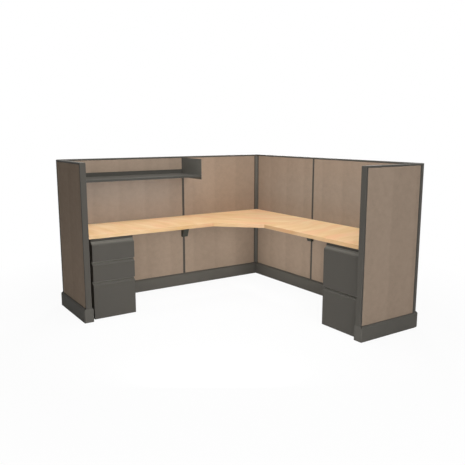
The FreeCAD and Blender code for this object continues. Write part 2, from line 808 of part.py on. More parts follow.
# Seam bracket: a folded steel arm, deep at the panel and shallow at its tip, open at the back.
# A strip up its back hooks into the uprights between the tiles.
def seam_bracket(name, panel, spot):
    shapes = []
    for part, wall, past in (("outer", 0, 0), ("inner", dim.bracket_wall, dim.overrun)):
        body = start_body(f"{name}_{part}")
        points = [
            (past, -wall),
            (wall - dim.bracket_long, -wall),
            (wall - dim.bracket_long, wall - dim.bracket_tip),
            (-dim.bracket_arm_out, wall - dim.bracket_arm_down),
            (wall - dim.bracket_knee_out, wall - dim.bracket_knee_down),
            (wall - dim.bracket_heel, wall - dim.bracket_deep),
            (past, wall - dim.bracket_deep),
        ]
        sketch = outline(body, f"{name}_{part}_side", "YZ_Plane", points)
        pad(body, f"{name}_{part}_run", sketch, dim.bracket_wide - 2 * wall)
        place(body, (wall, 0, 0))
        shapes.append(body)
    holes = []
    reaches = (dim.bracket_arm_out, dim.bracket_long - dim.bracket_tip)
    for index, reach in enumerate(reaches):
        for side, share in enumerate(bracket_screw_shares):
            across = dim.bracket_wide * share
            low = (across, -reach, -dim.bracket_wall - dim.overrun)
            tag = f"{name}_{index}_{side}"
            holes.append(screw_hole(f"{tag}_hole", low, dim.bracket_wall))
            seat = panel.spot(spot - dim.bracket_wide / 2 + across, -reach, worktop_under - dim.bracket_wall)
            worktop_screws.append(screw(f"{tag}_screw", seat, False))
    arm = carve(f"{name}_arm", shapes[0], [shapes[1]] + holes)
    hook_half = dim.stile_show - dim.hook_clear
    hook = box(
        f"{name}_hook",
        (dim.bracket_wide / 2 - hook_half, -dim.bracket_wall, -dim.bracket_deep),
        (dim.bracket_wide / 2 + hook_half, dim.nose_recess, 0),
    )
    return panel.put(join(f"{name}_steel", [arm, hook]), spot - dim.bracket_wide / 2, 0, worktop_under)


node(
    "seam_brackets",
    [
        seam_bracket("back_bracket", back_narrow, 0),
        seam_bracket("side_bracket", side_wide, 0),
    ],
)

# Corner bracket: a plate under the corner worktop with a flange on each face of the post
corner_low = worktop_under - dim.angle_leg
flange_face = inner + dim.nose_recess
plate_low = worktop_under - dim.bracket_wall
plate_start = flange_face - dim.corner_plate_long
corner_plate = join(
    "corner_bracket_steel",
    [
        box(
            "corner_bracket_plate",
            (plate_start, plate_start, plate_low),
            (inner, inner, worktop_under),
        ),
        box(
            "corner_bracket_back",
            (inner - dim.corner_reach, inner - dim.bracket_wall, corner_low),
            (inner, flange_face, worktop_under),
        ),
        box(
            "corner_bracket_side",
            (inner - dim.bracket_wall, inner - dim.corner_reach, corner_low),
            (flange_face, inner, worktop_under),
        ),
    ],
)
corner_screw_shares = ((0.25, 0.25), (0.25, 0.75), (0.75, 0.25))
corner_holes = []
for index, (across, up) in enumerate(corner_screw_shares):
    spot = (inner - dim.corner_plate_long * across, inner - dim.corner_plate_long * up)
    low = (*spot, plate_low - dim.overrun)
    corner_holes.append(screw_hole(f"corner_hole_{index}", low, dim.bracket_wall))
    seat = (*spot, plate_low)
    worktop_screws.append(screw(f"corner_screw_{index}", seat, False))
node("corner_bracket", [carve("corner_bracket_drilled", corner_plate, corner_holes)])


# Wing angle: an angle iron on the inner face of a wing, under the end of a worktop
def wing_angle(name, panel, from_start):
    steel = join(
        f"{name}_steel",
        [
            box(f"{name}_top", (0, -dim.angle_leg, -dim.bracket_wall), (dim.wing_angle_long, 0, 0)),
            box(f"{name}_back", (0, -dim.bracket_wall, -dim.angle_leg), (dim.wing_angle_long, 0, 0)),
        ],
    )
    holes = []
    for index, share in enumerate(angle_screw_shares):
        spot = dim.wing_angle_long * share
        low = (spot, -dim.angle_leg / 2, -dim.bracket_wall - dim.overrun)
        holes.append(screw_hole(f"{name}_hole_{index}", low, dim.bracket_wall))
        seat = panel.spot(from_start + spot, -dim.angle_leg / 2, worktop_under - dim.bracket_wall)
        worktop_screws.append(screw(f"{name}_screw_{index}", seat, False))
    return panel.put(carve(name, steel, holes), from_start, 0, worktop_under)


angle_screw_shares = (0.1, 0.5, 0.9)
angle_near = dim.wing_angle_start - dim.corner_reach
node(
    "wing_angles",
    [
        wing_angle("left_angle", left_wing, dim.wing_module - angle_near - dim.wing_angle_long),
        wing_angle("right_angle", right_wing, angle_near),
    ],
)


# Splice plate: a flat plate under each joint between worktops, near the front edge
def splice_plate(name, panel, spot):
    far = dim.worktop_reach - dim.splice_inset
    blank = box(f"{name}_blank", (0, 0, 0), (dim.splice_long, dim.splice_wide, dim.bracket_wall))
    holes = []
    for side, along_plate in enumerate((dim.splice_screw_inset, dim.splice_long - dim.splice_screw_inset)):
        low = (along_plate, dim.splice_wide / 2, -dim.overrun)
        holes.append(screw_hole(f"{name}_hole_{side}", low, dim.bracket_wall))
        seat_along = spot - dim.splice_long / 2 + along_plate
        seat = panel.spot(seat_along, dim.splice_wide / 2 - far, worktop_under - dim.bracket_wall)
        worktop_screws.append(screw(f"{name}_screw_{side}", seat, False))
    plate = carve(name, blank, holes)
    return panel.put(plate, spot - dim.splice_long / 2, -far, worktop_under - dim.bracket_wall)


node(
    "splice_plates",
    [
        splice_plate("back_splice", back_narrow, 0),
        splice_plate("side_splice", side_wide, 0),
    ],
)
node("worktop_screws", worktop_screws)

# Open shelf on the wide back panel: a folded pan between two ends
shelf_height = dim.panel_height - dim.shelf_drop
end_top = shelf_height + dim.end_rise
end_bottom = shelf_height - dim.end_drop
pan_start = dim.stile_show + dim.corner_reach - dim.end_set
pan_left = inner - wall_run + pan_start
pan_right = seam_edge - dim.end_set
shelf_body = start_body("shelf_pan_body")
shelf_points = [
    (0, shelf_height + dim.shelf_upstand),
    (0, shelf_height - dim.shelf_sheet),
    (dim.shelf_sheet - dim.shelf_reach, shelf_height - dim.shelf_sheet),
    (dim.shelf_sheet - dim.shelf_reach, shelf_height - dim.shelf_lip + dim.shelf_sheet),
    (dim.shelf_return - dim.shelf_reach, shelf_height - dim.shelf_lip + dim.shelf_sheet),
    (dim.shelf_return - dim.shelf_reach, shelf_height - dim.shelf_lip),
    (-dim.shelf_reach, shelf_height - dim.shelf_lip),
    (-dim.shelf_reach, shelf_height),
    (-dim.shelf_sheet, shelf_height),
    (-dim.shelf_sheet, shelf_height + dim.shelf_upstand),
]
shelf_pad = pad(
    shelf_body,
    "shelf_pan_run",
    outline(shelf_body, "shelf_pan_section", "YZ_Plane", shelf_points),
    pan_right - pan_left,
)
round_body(
    shelf_body,
    "shelf_pan_edge",
    shelf_pad,
    dim.shelf_round,
    lambda edge, middle: along(edge, "x") and near(middle.y, -dim.shelf_reach),
)
place(shelf_body, (pan_left, inner, 0))
node("shelf_pan", [shelf_body])


def shelf_end(name, face, ledge_from, ledge_to):
    plate = box(
        f"{name}_plate",
        (face, inner - dim.shelf_reach, end_bottom),
        (face + dim.end_sheet, inner, end_top),
    )
    hooks = box(
        f"{name}_hooks",
        (face, inner - dim.end_sheet, end_bottom + dim.end_hook_inset),
        (face + dim.end_sheet, inner + dim.nose_recess, end_top - dim.end_hook_inset),
    )
    ledge_top = shelf_height - dim.shelf_sheet
    ledge_front = inner - dim.shelf_reach + dim.shelf_return + dim.shelf_sheet
    ledge = box(
        f"{name}_ledge",
        (ledge_from, ledge_front, ledge_top - dim.end_sheet),
        (ledge_to, inner, ledge_top),
    )
    return join(f"{name}_steel", [plate, hooks, ledge])


left_face = pan_left - dim.end_sheet
right_face = pan_right + dim.end_sheet
node("shelf_left_end", [shelf_end("shelf_left", left_face, left_face, pan_left + dim.end_ledge)])
node("shelf_right_end", [shelf_end("shelf_right", pan_right, pan_right - dim.end_ledge, right_face)])


# A pedestal's own frame: x across it, y back from the drawer fronts, z up
class Pedestal:
    def __init__(self, name, turn, start):
        self.name = name
        self.panel = Panel(name, dim.pedestal_wide, turn, start)

    def put(self, item, across=0, back=0, up=0):
        return self.panel.put(item, across, back, up)

    def spot(self, across, back, up):
        return self.panel.spot(across, back, up)


front_plane = inner - dim.pedestal_front
far_side = inner - wall_run + dim.pedestal_wing_gap
left_pedestal = Pedestal("left_pedestal", 0, (far_side, front_plane))
right_pedestal = Pedestal("right_pedestal", -90, (front_plane, far_side + dim.pedestal_wide))
case_front = dim.front_thick + dim.front_clear
case_back = dim.pedestal_front - dim.pedestal_back_gap
fronts_top = worktop_under - dim.header_tall
file_front_tall = fronts_top - dim.front_bottom - 2 * dim.box_front_tall - 2 * dim.front_gap
file_drawer_tall = file_front_tall - dim.file_drawer_drop
box_drawer_tall = dim.box_front_tall - dim.box_drawer_drop


def pedestal_case(pedestal):
    name = pedestal.name
    deep = case_back - case_front
    tall = worktop_under - dim.glide_tall
    shell = box(f"{name}_blank", (0, 0, 0), (dim.pedestal_wide, deep, tall))
    room = box(
        f"{name}_room",
        (dim.case_sheet, -dim.overrun, dim.case_sheet),
        (dim.pedestal_wide - dim.case_sheet, deep - dim.case_sheet, tall - dim.case_sheet),
    )
    holes = []
    for index, (across, back) in enumerate(pedestal_glide_spots()):
        low = (across, back - case_front, -dim.overrun)
        hole_tall = dim.case_sheet + 2 * dim.overrun
        hole = cylinder(f"{name}_hole_{index}", dim.stem_radius + dim.stem_room, low, hole_tall)
        holes.append(hole)
        glides.append(glide(f"{name}_glide_{index}", pedestal.spot(across, back, 0)))
    sides = carve(f"{name}_shell", shell, [room] + holes)
    header = box(
        f"{name}_header",
        (0, 0, fronts_top - dim.glide_tall - dim.case_sheet),
        (dim.pedestal_wide, dim.case_sheet, tall),
    )
    case = join(f"{name}_steel", [sides, header])
    return pedestal.put(case, 0, case_front, dim.glide_tall)


def pedestal_glide_spots():
    inset = 2 * dim.glide_radius
    sides = (inset, dim.pedestal_wide - inset)
    return [(across, back) for back in (case_front + inset, case_back - inset) for across in sides]


# Drawer front: a folded shell whose top slopes back as a full-width pull, with a window behind
def drawer_front(name, pedestal, low, tall):
    body = start_body(f"{name}_shell")
    points = [
        (0, 0),
        (dim.front_thick, 0),
        (dim.front_thick, tall),
        (dim.pull_back, tall),
        (dim.pull_back, tall - dim.pull_ledge),
        (0, tall - dim.pull_slope),
    ]
    wide = dim.pedestal_wide - 2 * dim.front_side_gap
    run = pad(body, f"{name}_run", outline(body, f"{name}_side", "YZ_Plane", points), wide)
    round_body(
        body,
        f"{name}_pull",
        run,
        dim.pull_round,
        lambda edge, middle: along(edge, "x") and near(middle.y, 0) and middle.z > number(dim.pull_slope),
    )
    room = start_body(f"{name}_room")
    inside = [
        (dim.front_sheet, dim.front_sheet),
        (dim.front_thick - dim.front_sheet, dim.front_sheet),
        (dim.front_thick - dim.front_sheet, tall - dim.pull_ledge - 2 * dim.front_sheet),
        (dim.pull_back - dim.front_sheet, tall - dim.pull_ledge - 2 * dim.front_sheet),
        (dim.front_sheet, tall - dim.pull_slope - dim.front_sheet),
    ]
    sketch = outline(room, f"{name}_room_side", "YZ_Plane", inside)
    pad(room, f"{name}_room_run", sketch, wide - 2 * dim.front_sheet)
    place(room, (dim.front_sheet, 0, 0))
    window = box(
        f"{name}_window",
        (dim.front_window, dim.front_thick - dim.front_sheet - dim.overrun, dim.front_window),
        (wide - dim.front_window, dim.front_thick + dim.overrun, tall - dim.pull_slope - dim.front_window),
    )
    return pedestal.put(carve(name, body, [room, window]), dim.front_side_gap, 0, low)


def drawer_box(name, pedestal, low, tall):
    wide = dim.pedestal_wide - 2 * dim.case_sheet - 2 * dim.slide_space
    blank = box(f"{name}_blank", (0, 0, 0), (wide, dim.drawer_long, tall))
    room = box(
        f"{name}_room",
        (dim.drawer_sheet, dim.drawer_sheet, dim.drawer_sheet),
        (wide - dim.drawer_sheet, dim.drawer_long - dim.drawer_sheet, tall + dim.overrun),
    )
    tray = carve(name, blank, [room])
    return pedestal.put(tray, dim.case_sheet + dim.slide_space, dim.front_thick, low + dim.drawer_lift)


# One member of a slide: a channel on its side, its web at one end and its flanges at the other
def slide_member(name, web_back, web_face, flange_end, half_tall):
    body = start_body(name)
    lip = half_tall - dim.slide_sheet
    points = [
        (web_back, -half_tall),
        (flange_end, -half_tall),
        (flange_end, -lip),
        (web_face, -lip),
        (web_face, lip),
        (flange_end, lip),
        (flange_end, half_tall),
        (web_back, half_tall),
    ]
    sketch = outline(body, f"{name}_section", "XZ_Plane", points)
    item = pad(body, f"{name}_run", sketch, dim.slide_long)
    item.Reversed = True
    return body


step = dim.slide_sheet + dim.slide_clear
slide_parts = {
    "channel": (0, dim.slide_sheet, dim.slide_space - 2 * dim.slide_sheet, dim.slide_tall / 2),
    "link": (step, step + dim.slide_sheet, dim.slide_space - step, dim.slide_tall / 2 - step),
    "runner": (dim.slide_space, dim.slide_space - dim.slide_sheet, 2 * step, dim.slide_tall / 2 - 2 * step),
}


# Both slides of a drawer: the same member on each side, the far one turned round
def slide_pair(name, pedestal, low, part):
    pair = []
    up = low + dim.drawer_lift + dim.slide_lift
    back = case_front + dim.slide_set
    for side in ("near", "far"):
        member = slide_member(f"{name}_{part}_{side}", *slide_parts[part])
        if side == "near":
            pair.append(pedestal.put(member, dim.case_sheet, back, up))
        else:
            across = dim.pedestal_wide - dim.case_sheet
            pair.append(pedestal.panel.put(member, across, back + dim.slide_long, up, 180))
    return pair


def folder_rails(name, pedestal, low, tall):
    rails = []
    top = low + dim.drawer_lift + tall + dim.hanger_rise
    first = dim.case_sheet + dim.slide_space + dim.drawer_sheet
    last = dim.pedestal_wide - first - dim.hanger_thick
    for side, across in (("near", first), ("far", last)):
        rail = box(
            f"{name}_{side}_rail",
            (0, 0, 0),
            (dim.hanger_thick, dim.drawer_long - 2 * dim.hanger_inset, dim.hanger_tall),
        )
        rails.append(pedestal.put(rail, across, dim.front_thick + dim.hanger_inset, top - dim.hanger_tall))
    return rails


box_middle = dim.front_bottom + file_front_tall + dim.front_gap
box_top = box_middle + dim.box_front_tall + dim.front_gap
upper_front_tall = fronts_top - box_middle
upper_drawer_tall = upper_front_tall - dim.upper_drawer_drop
drawers = [
    ("left_top_drawer", left_pedestal, box_top, dim.box_front_tall, box_drawer_tall, False),
    ("left_middle_drawer", left_pedestal, box_middle, dim.box_front_tall, box_drawer_tall, False),
    ("left_file_drawer", left_pedestal, dim.front_bottom, file_front_tall, file_drawer_tall, True),
    ("right_upper_drawer", right_pedestal, box_middle, upper_front_tall, upper_drawer_tall, True),
    ("right_lower_drawer", right_pedestal, dim.front_bottom, file_front_tall, file_drawer_tall, True),
]

for pedestal in (left_pedestal, right_pedestal):
    node(f"{pedestal.name}_case", [pedestal_case(pedestal)])
node("levelling_glides", glides)

slide_channels = []
for name, pedestal, low, front_tall, box_tall, files in drawers:
    node(f"{name}_front", [drawer_front(f"{name}_face", pedestal, low, front_tall)])
    node(f"{name}_box", [drawer_box(f"{name}_tray", pedestal, low, box_tall)])
    slide_channels += slide_pair(name, pedestal, low, "channel")
    node(f"{name}_slide_links", slide_pair(name, pedestal, low, "link"))
    node(f"{name}_runners", slide_pair(name, pedestal, low, "runner"))
    if files:
        node(f"{name}_folder_rails", folder_rails(name, pedestal, low, box_tall))
node("slide_channels", slide_channels)

doc.recompute()

# Nothing is written unless every object and every sub-part came out sound.
faults = [item.Label for item in doc.Objects if {"Invalid", "Error"} & set(item.State)]
for label, item in nodes.items():
    if item.Shape.isNull() or not item.Shape.isValid():
        faults.append(label)
if faults:
    raise RuntimeError("unsound: " + ", ".join(faults))

os.makedirs("parts", exist_ok=True)
total = 0
for label, item in nodes.items():
    item.Shape.exportStep(f"parts/{label}.step")
    total += len(item.Shape.Solids)
print(f"{len(nodes)} nodes, {total} solids")
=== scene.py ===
import json
import math

import bmesh
import bpy
from mathutils import Euler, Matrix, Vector, noise


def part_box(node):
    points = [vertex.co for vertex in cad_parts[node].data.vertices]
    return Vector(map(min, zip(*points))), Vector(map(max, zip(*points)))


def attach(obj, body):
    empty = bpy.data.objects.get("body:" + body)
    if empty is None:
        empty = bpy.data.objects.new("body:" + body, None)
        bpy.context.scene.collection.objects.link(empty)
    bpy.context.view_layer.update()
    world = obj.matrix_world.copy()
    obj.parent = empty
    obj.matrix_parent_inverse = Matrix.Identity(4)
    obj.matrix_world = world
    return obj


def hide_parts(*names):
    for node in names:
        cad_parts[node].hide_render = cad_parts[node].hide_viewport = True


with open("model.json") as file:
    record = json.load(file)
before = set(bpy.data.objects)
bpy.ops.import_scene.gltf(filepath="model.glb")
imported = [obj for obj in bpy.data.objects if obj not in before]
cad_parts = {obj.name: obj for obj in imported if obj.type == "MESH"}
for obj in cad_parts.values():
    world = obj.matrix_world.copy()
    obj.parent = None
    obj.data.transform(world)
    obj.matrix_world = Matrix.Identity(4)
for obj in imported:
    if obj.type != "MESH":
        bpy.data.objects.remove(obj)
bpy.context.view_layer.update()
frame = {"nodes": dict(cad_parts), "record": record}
print("frame: the packed cubicle is loaded")

behaviour = frame["record"]["behaviour"]
bodyOf = {node: body for body, members in behaviour["bodies"].items() for node in members}


# A colour as a paint chart gives it, 0 to 255, turned by the sRGB curve into Blender's linear numbers
def chart(*levels):
    shares = [level / 255 for level in levels]
    return tuple(s / 12.92 if s <= 0.04045 else ((s + 0.055) / 1.055) ** 2.4 for s in shares)


# Camera, floor and light

cameraLook = {
    "place": (-2.64154, -4.01714, 1.58212),
    "tilt": 79.98,
    "turn": -33.7,
    "lens": 43.75,
    "sensor": 36,
}
camera = bpy.data.objects.new("camera", bpy.data.cameras.new("camera"))
camera.data.lens = cameraLook["lens"]
camera.data.sensor_width = cameraLook["sensor"]
camera.location = cameraLook["place"]
camera.rotation_euler = Euler([math.radians(cameraLook["tilt"]), 0, math.radians(cameraLook["turn"])])
bpy.context.scene.collection.objects.link(camera)
bpy.context.scene.camera = camera
bpy.context.scene.view_settings.view_transform = "Standard"

# name: place, point that it faces, width, height, power in watts, spread of its beam in degrees
lampLook = {
    "farFront": ((-1.0, -11.0, 3.0), (0, 0, 0.7), 3.0, 3.0, 226, 180),
    "farSide": ((-7.0, -9.0, 3.0), (0, 0, 0.7), 3.0, 3.0, 8, 180),
    "overheadFront": ((-0.9, -2.6, 4.0), (0.3, 0.3, 0.7), 2.0, 2.0, 73, 180),
    "ceiling": ((-0.28, 0.1, 3.0), (-0.28, 0.1, 0), 2.4, 2.4, 53, 180),
    "lowFront": ((-0.9, -4.2, 0.3), (0.3, 0.5, 0.4), 1.6, 0.4, 16, 180),
    "opening": ((-0.9, -1.2, 0.25), (0.3, 0.6, 0.4), 0.8, 0.3, 6.2, 180),
    "belowShelf": ((-0.45, 0.86, 1.14), (-0.45, 0.9, 0.74), 1.3, 0.3, 0.69, 80),
    "belowShelfWall": ((-0.45, 0.62, 0.98), (-0.45, 1.08, 1.02), 1.3, 0.3, 1.12, 110),
    "aboveTopSide": ((0.62, 0.0, 1.0), (1.09, 0.0, 0.9), 1.9, 0.2, 0.6, 120),
    "kneeSpaceSide": ((0.5, 0.36, 0.34), (1.08, 0.36, 0.36), 1.0, 0.4, 2.6, 180),
    "kneeSpaceBack": ((0.12, 0.5, 0.34), (0.12, 1.08, 0.36), 1.2, 0.4, 1.9, 180),
    "behind": ((7.0, 8.0, 4.0), (0, 0, 0.7), 3.0, 3.0, 800, 180),
}
# Cool lamps take back the warm light that the wood throws on the cloth
lampTint = {"belowShelfWall": (0.57, 0.78, 1), "aboveTopSide": (0.1, 0.6, 1)}
for lampName, (place, aim, width, height, power, spread) in lampLook.items():
    lamp = bpy.data.objects.new(lampName, bpy.data.lights.new(lampName, "AREA"))
    lamp.data.shape = "RECTANGLE"
    lamp.data.size = width
    lamp.data.size_y = height
    lamp.data.energy = power
    lamp.data.color = lampTint.get(lampName, (1, 1, 1))
    lamp.data.spread = math.radians(spread)
    lamp.location = place
    lamp.rotation_euler = (Vector(aim) - Vector(place)).to_track_quat("-Z", "Y").to_euler()
    lamp.visible_camera = False
    bpy.context.scene.collection.objects.link(lamp)


# Shader helpers

mixSockets = {"share": 0, "first": 6, "second": 7, "out": 2}  # a Mix node's sockets for colours


# An output of a node. Sums and products of wires add the Math nodes for them.
class Wire:
    def __init__(self, graph, socket):
        self.graph = graph
        self.socket = socket

    def math(self, operation, *values):
        return self.graph.add("ShaderNodeMath", {"operation": operation}, values)

    def __add__(self, other):
        return self.math("ADD", self, other)

    def __radd__(self, other):
        return self.math("ADD", other, self)

    def __sub__(self, other):
        return self.math("SUBTRACT", self, other)

    def __rsub__(self, other):
        return self.math("SUBTRACT", other, self)

    def __mul__(self, other):
        return self.math("MULTIPLY", self, other)

    def __rmul__(self, other):
        return self.math("MULTIPLY", other, self)

    def __truediv__(self, other):
        return self.math("DIVIDE", self, other)

    def __abs__(self):
        return self.math("ABSOLUTE", self)

    # A value from 0 to 1 as a sway to both sides of 0, so wide in all
    def sway(self, wide):
        return (self - 0.5) * wide


# A node with its settings, which come first, and the values or links of its sockets
def addNode(tree, kind, settings, inputs):
    node = tree.nodes.new(kind)
    for name, value in (settings or {}).items():
        setattr(node, name, value)
    pairs = inputs.items() if isinstance(inputs, dict) else enumerate(inputs)
    for name, value in pairs:
        source = value.socket if isinstance(value, Wire) else value
        if isinstance(source, bpy.types.NodeSocket):
            tree.links.new(source, node.inputs[name])
        else:
            node.inputs[name].default_value = source
    return node


# The node tree of a material or of the world
class Graph:
    def __init__(self, owner):
        owner.use_nodes = True
        self.owner = owner
        self.tree = owner.node_tree
        self.tree.nodes.clear()

    def add(self, kind, settings=None, inputs=(), out=0):
        node = addNode(self.tree, kind, settings, inputs)
        return Wire(self, node.outputs[out]) if node.outputs else None

    def coordinates(self):
        spot = self.add("ShaderNodeTexCoord", out="Object")
        return [self.add("ShaderNodeSeparateXYZ", None, [spot], axis) for axis in "XYZ"]

    def vector(self, *parts):
        return self.add("ShaderNodeCombineXYZ", None, parts)

    def cloud(self, spot, scale=1, detail=2, roughness=0.5):
        inputs = {"Vector": spot, "Scale": scale, "Detail": detail, "Roughness": roughness}
        return self.add("ShaderNodeTexNoise", None, inputs)

    # The colour made lighter or darker by a share
    def shaded(self, colour, share):
        return self.add("ShaderNodeVectorMath", {"operation": "SCALE"}, {"Vector": colour, "Scale": share})

    # The first colour where the share is 0 and the second where it is 1
    def between(self, share, first, second):
        inputs = {mixSockets["share"]: share}
        for side, colour in (("first", first), ("second", second)):
            inputs[mixSockets[side]] = (*colour, 1) if isinstance(colour, tuple) else colour
        return self.add("ShaderNodeMix", {"data_type": "RGBA"}, inputs, mixSockets["out"])

    def bump(self, height, distance, strength=1):
        inputs = {"Height": height, "Distance": distance, "Strength": strength}
        return self.add("ShaderNodeBump", None, inputs)

    def finish(self, inputs):
        shader = self.add("ShaderNodeBsdfPrincipled", None, inputs)
        self.add("ShaderNodeOutputMaterial", None, {"Surface": shader})
        return self.owner


def newGraph(name):
    return Graph(bpy.data.materials.new(name))


# Floor and backdrop: white to the camera and in reflections, pale grey to the light

stageLook = {
    "floorSize": 60,
    "floorColour": chart(240, 240, 240),
    "whiteShare": 0.94,  # how much of the seen floor near the object is plain white rather than lit
    "fadeStart": 1.9,  # past this far from the middle the floor turns plain white
    "fadeEnd": 3.2,
    "ambient": 0.1,
}
plainWhite = (1, 1, 1, 1)


# 1 for a ray that the eye follows, straight, in a reflection or through glass, and 0 for other light
def seenDirectly(graph):
    kinds = ("Camera", "Glossy", "Transmission")
    seen, glossy, through = [graph.add("ShaderNodeLightPath", out=f"Is {kind} Ray") for kind in kinds]
    return seen.math("MAXIMUM", seen, glossy.math("MAXIMUM", glossy, through))


world = bpy.data.worlds.new("studio")
bpy.context.scene.world = world
air = Graph(world)
dimSky = air.add("ShaderNodeBackground", None, {"Color": plainWhite, "Strength": stageLook["ambient"]})
whiteSky = air.add("ShaderNodeBackground", None, {"Color": plainWhite, "Strength": 1})
sky = air.add("ShaderNodeMixShader", None, [seenDirectly(air), dimSky, whiteSky])
air.add("ShaderNodeOutputWorld", None, {"Surface": sky})

floorGraph = newGraph("floorPaint")
litFloor = floorGraph.add("ShaderNodeBsdfDiffuse", None, {"Color": (*stageLook["floorColour"], 1)})
whiteFloor = floorGraph.add("ShaderNodeEmission", None, {"Color": plainWhite, "Strength": 1})
floorX, floorY, _ = floorGraph.coordinates()
floorSpot = floorGraph.vector(floorX, floorY, 0.0)
away = floorGraph.add("ShaderNodeVectorMath", {"operation": "LENGTH"}, [floorSpot], "Value")
fade = [away, stageLook["fadeStart"], stageLook["fadeEnd"], stageLook["whiteShare"], 1.0]
amount = seenDirectly(floorGraph) * floorGraph.add("ShaderNodeMapRange", None, fade)
seenFloor = floorGraph.add("ShaderNodeMixShader", None, [amount, litFloor, whiteFloor])
floorGraph.add("ShaderNodeOutputMaterial", None, {"Surface": seenFloor})

floorMesh = bpy.data.meshes.new("floor")
half = stageLook["floorSize"] / 2
floorCorners = [(-half, -half, 0), (half, -half, 0), (half, half, 0), (-half, half, 0)]
floorMesh.from_pydata(floorCorners, [], [(0, 1, 2, 3)])
floorMesh.materials.append(floorGraph.owner)
floor = bpy.data.objects.new("floor", floorMesh)
bpy.context.scene.collection.objects.link(floor)
print("stage: camera, lamps, floor and backdrop")


# Materials

fabricLook = {
    "colour": chart(153.1, 135.7, 119.4),
    "threadPitch": 0.0018,
    "threadTall": 0.00016,
    "threadCross": 3,  # how sharply the threads change places
    "weaveStrength": 0.6,
    "slubLong": 0.012,
    "slubDepth": 0.16,  # how much single threads differ in tone
    "bandWide": 0.27,  # the tone rises slowly across a band and falls back within bandTurn of it
    "bandTurn": 0.1,
    "bandWaver": 0.012,
    "waverScale": 9,
    "bandDepth": 0.075,
    "cloudScale": 24,
    "cloudDepth": 0.2,
    "fleckScale": 130,
    "fleckDepth": 0.16,
    "fleckTall": 0.8,
    "weftPlane": 7.3,  # each noise is cut at a place of its own, so that none repeats another
    "waverPlane": 3.1,
    "cloudPlane": 0.4,
    "fleckPlane": 1.7,
    "roughness": 0.94,
    "gloss": 0.03,
    "sheen": 0.12,
    "sheenRoughness": 0.6,
}


# Plain woven panel cloth: warp threads run up the wall and weft threads along it
def panelCloth(name, look):
    graph = newGraph(name)
    x, y, z = graph.coordinates()
    across = x - y
    warp = across * (math.pi / look["threadPitch"])
    weft = z * (math.pi / look["threadPitch"])
    warpWave = warp.math("SINE", warp)
    weftWave = weft.math("SINE", weft)
    over = warpWave * weftWave * look["threadCross"] + 0.5
    over = over.math("MINIMUM", over.math("MAXIMUM", over, 0), 1)  # 1 where a warp thread lies on top
    height = over * abs(warpWave) + (1 - over) * abs(weftWave)
    fine = 1 / look["threadPitch"]
    coarse = 1 / look["slubLong"]
    warpSlub = graph.cloud(graph.vector(across * fine, 0.0, z * coarse), detail=0)
    weftSlub = graph.cloud(graph.vector(across * coarse, look["weftPlane"], z * fine), detail=0)
    slub = over * warpSlub + (1 - over) * weftSlub
    waver = graph.cloud(graph.vector(across, look["waverPlane"], z), look["waverScale"])
    bandPlace = across / look["bandWide"] + waver.sway(2 * look["bandWaver"] / look["bandWide"])
    bandShare = bandPlace.math("FRACT", bandPlace)
    band = bandShare.math("MINIMUM", bandShare / (1 - look["bandTurn"]), (1 - bandShare) / look["bandTurn"])
    cloud = graph.cloud(graph.vector(across, look["cloudPlane"], z), look["cloudScale"])
    fleckSpot = graph.vector(across, look["fleckPlane"], z * look["fleckTall"])
    fleck = graph.cloud(fleckSpot, look["fleckScale"], detail=1)
    share = 1 + slub.sway(look["slubDepth"]) + band.sway(look["bandDepth"])
    share = share + cloud.sway(look["cloudDepth"]) + fleck.sway(look["fleckDepth"])
    return graph.finish({
        "Base Color": graph.shaded(look["colour"], share),
        "Roughness": look["roughness"],
        "Specular IOR Level": look["gloss"],
        "Sheen Weight": look["sheen"],
        "Sheen Roughness": look["sheenRoughness"],
        "Sheen Tint": (*look["colour"], 1),
        "Normal": graph.bump(height, look["threadTall"], look["weaveStrength"]),
    })


paintLook = {
    "charcoal": chart(81.2, 78.4, 73.3),
    # painted light: the cover paint is a lighter copy of the charcoal, making up for the shade round the
    # base covers and post covers
    "cover": chart(93.8, 91.5, 86.3),
    # painted shade: the shelf paint is a darker copy of the charcoal, holding down the stronger lamp light
    # on the shelf
    "shelf": chart(70.4, 68.4, 63.4),
    # painted light: the post paint is a lighter copy of the charcoal, making up for the shade in the
    # corners round the posts and shelf ends
    "post": chart(105.5, 103.5, 97),
    "burnished": chart(84, 82, 76),
    # painted shade: the bracket paint is a darker copy of the charcoal, standing in for the shadow under
    # the worktops
    "bracket": chart(65.5, 66.5, 60.5),
    # painted light: the pull paint is a lighter copy of the charcoal, making up for the shade in the recess
    # of each pull
    "pull": chart(93, 91, 85),
    "inside": chart(80, 78, 72),
    "grainSize": 0.0011,
    "grainTall": 0.00003,
    "cloudScale": 5,
    "cloudDepth": 0.06,
    "speckDepth": 0.08,
    "roughness": 0.66,
    "roughnessDrift": 0.1,
    "gloss": 0.12,
    "coverGloss": 0.04,  # the base covers are duller
    "paintedLightFrom": 0.006,  # painted light: the paint of a pull grows paler from this far behind the front, against the shade in its recess
    "paintedLightTo": 0.022,  # and is palest from here on
    "paintedLightLift": 1.8,  # how many times as bright the paint is there
}


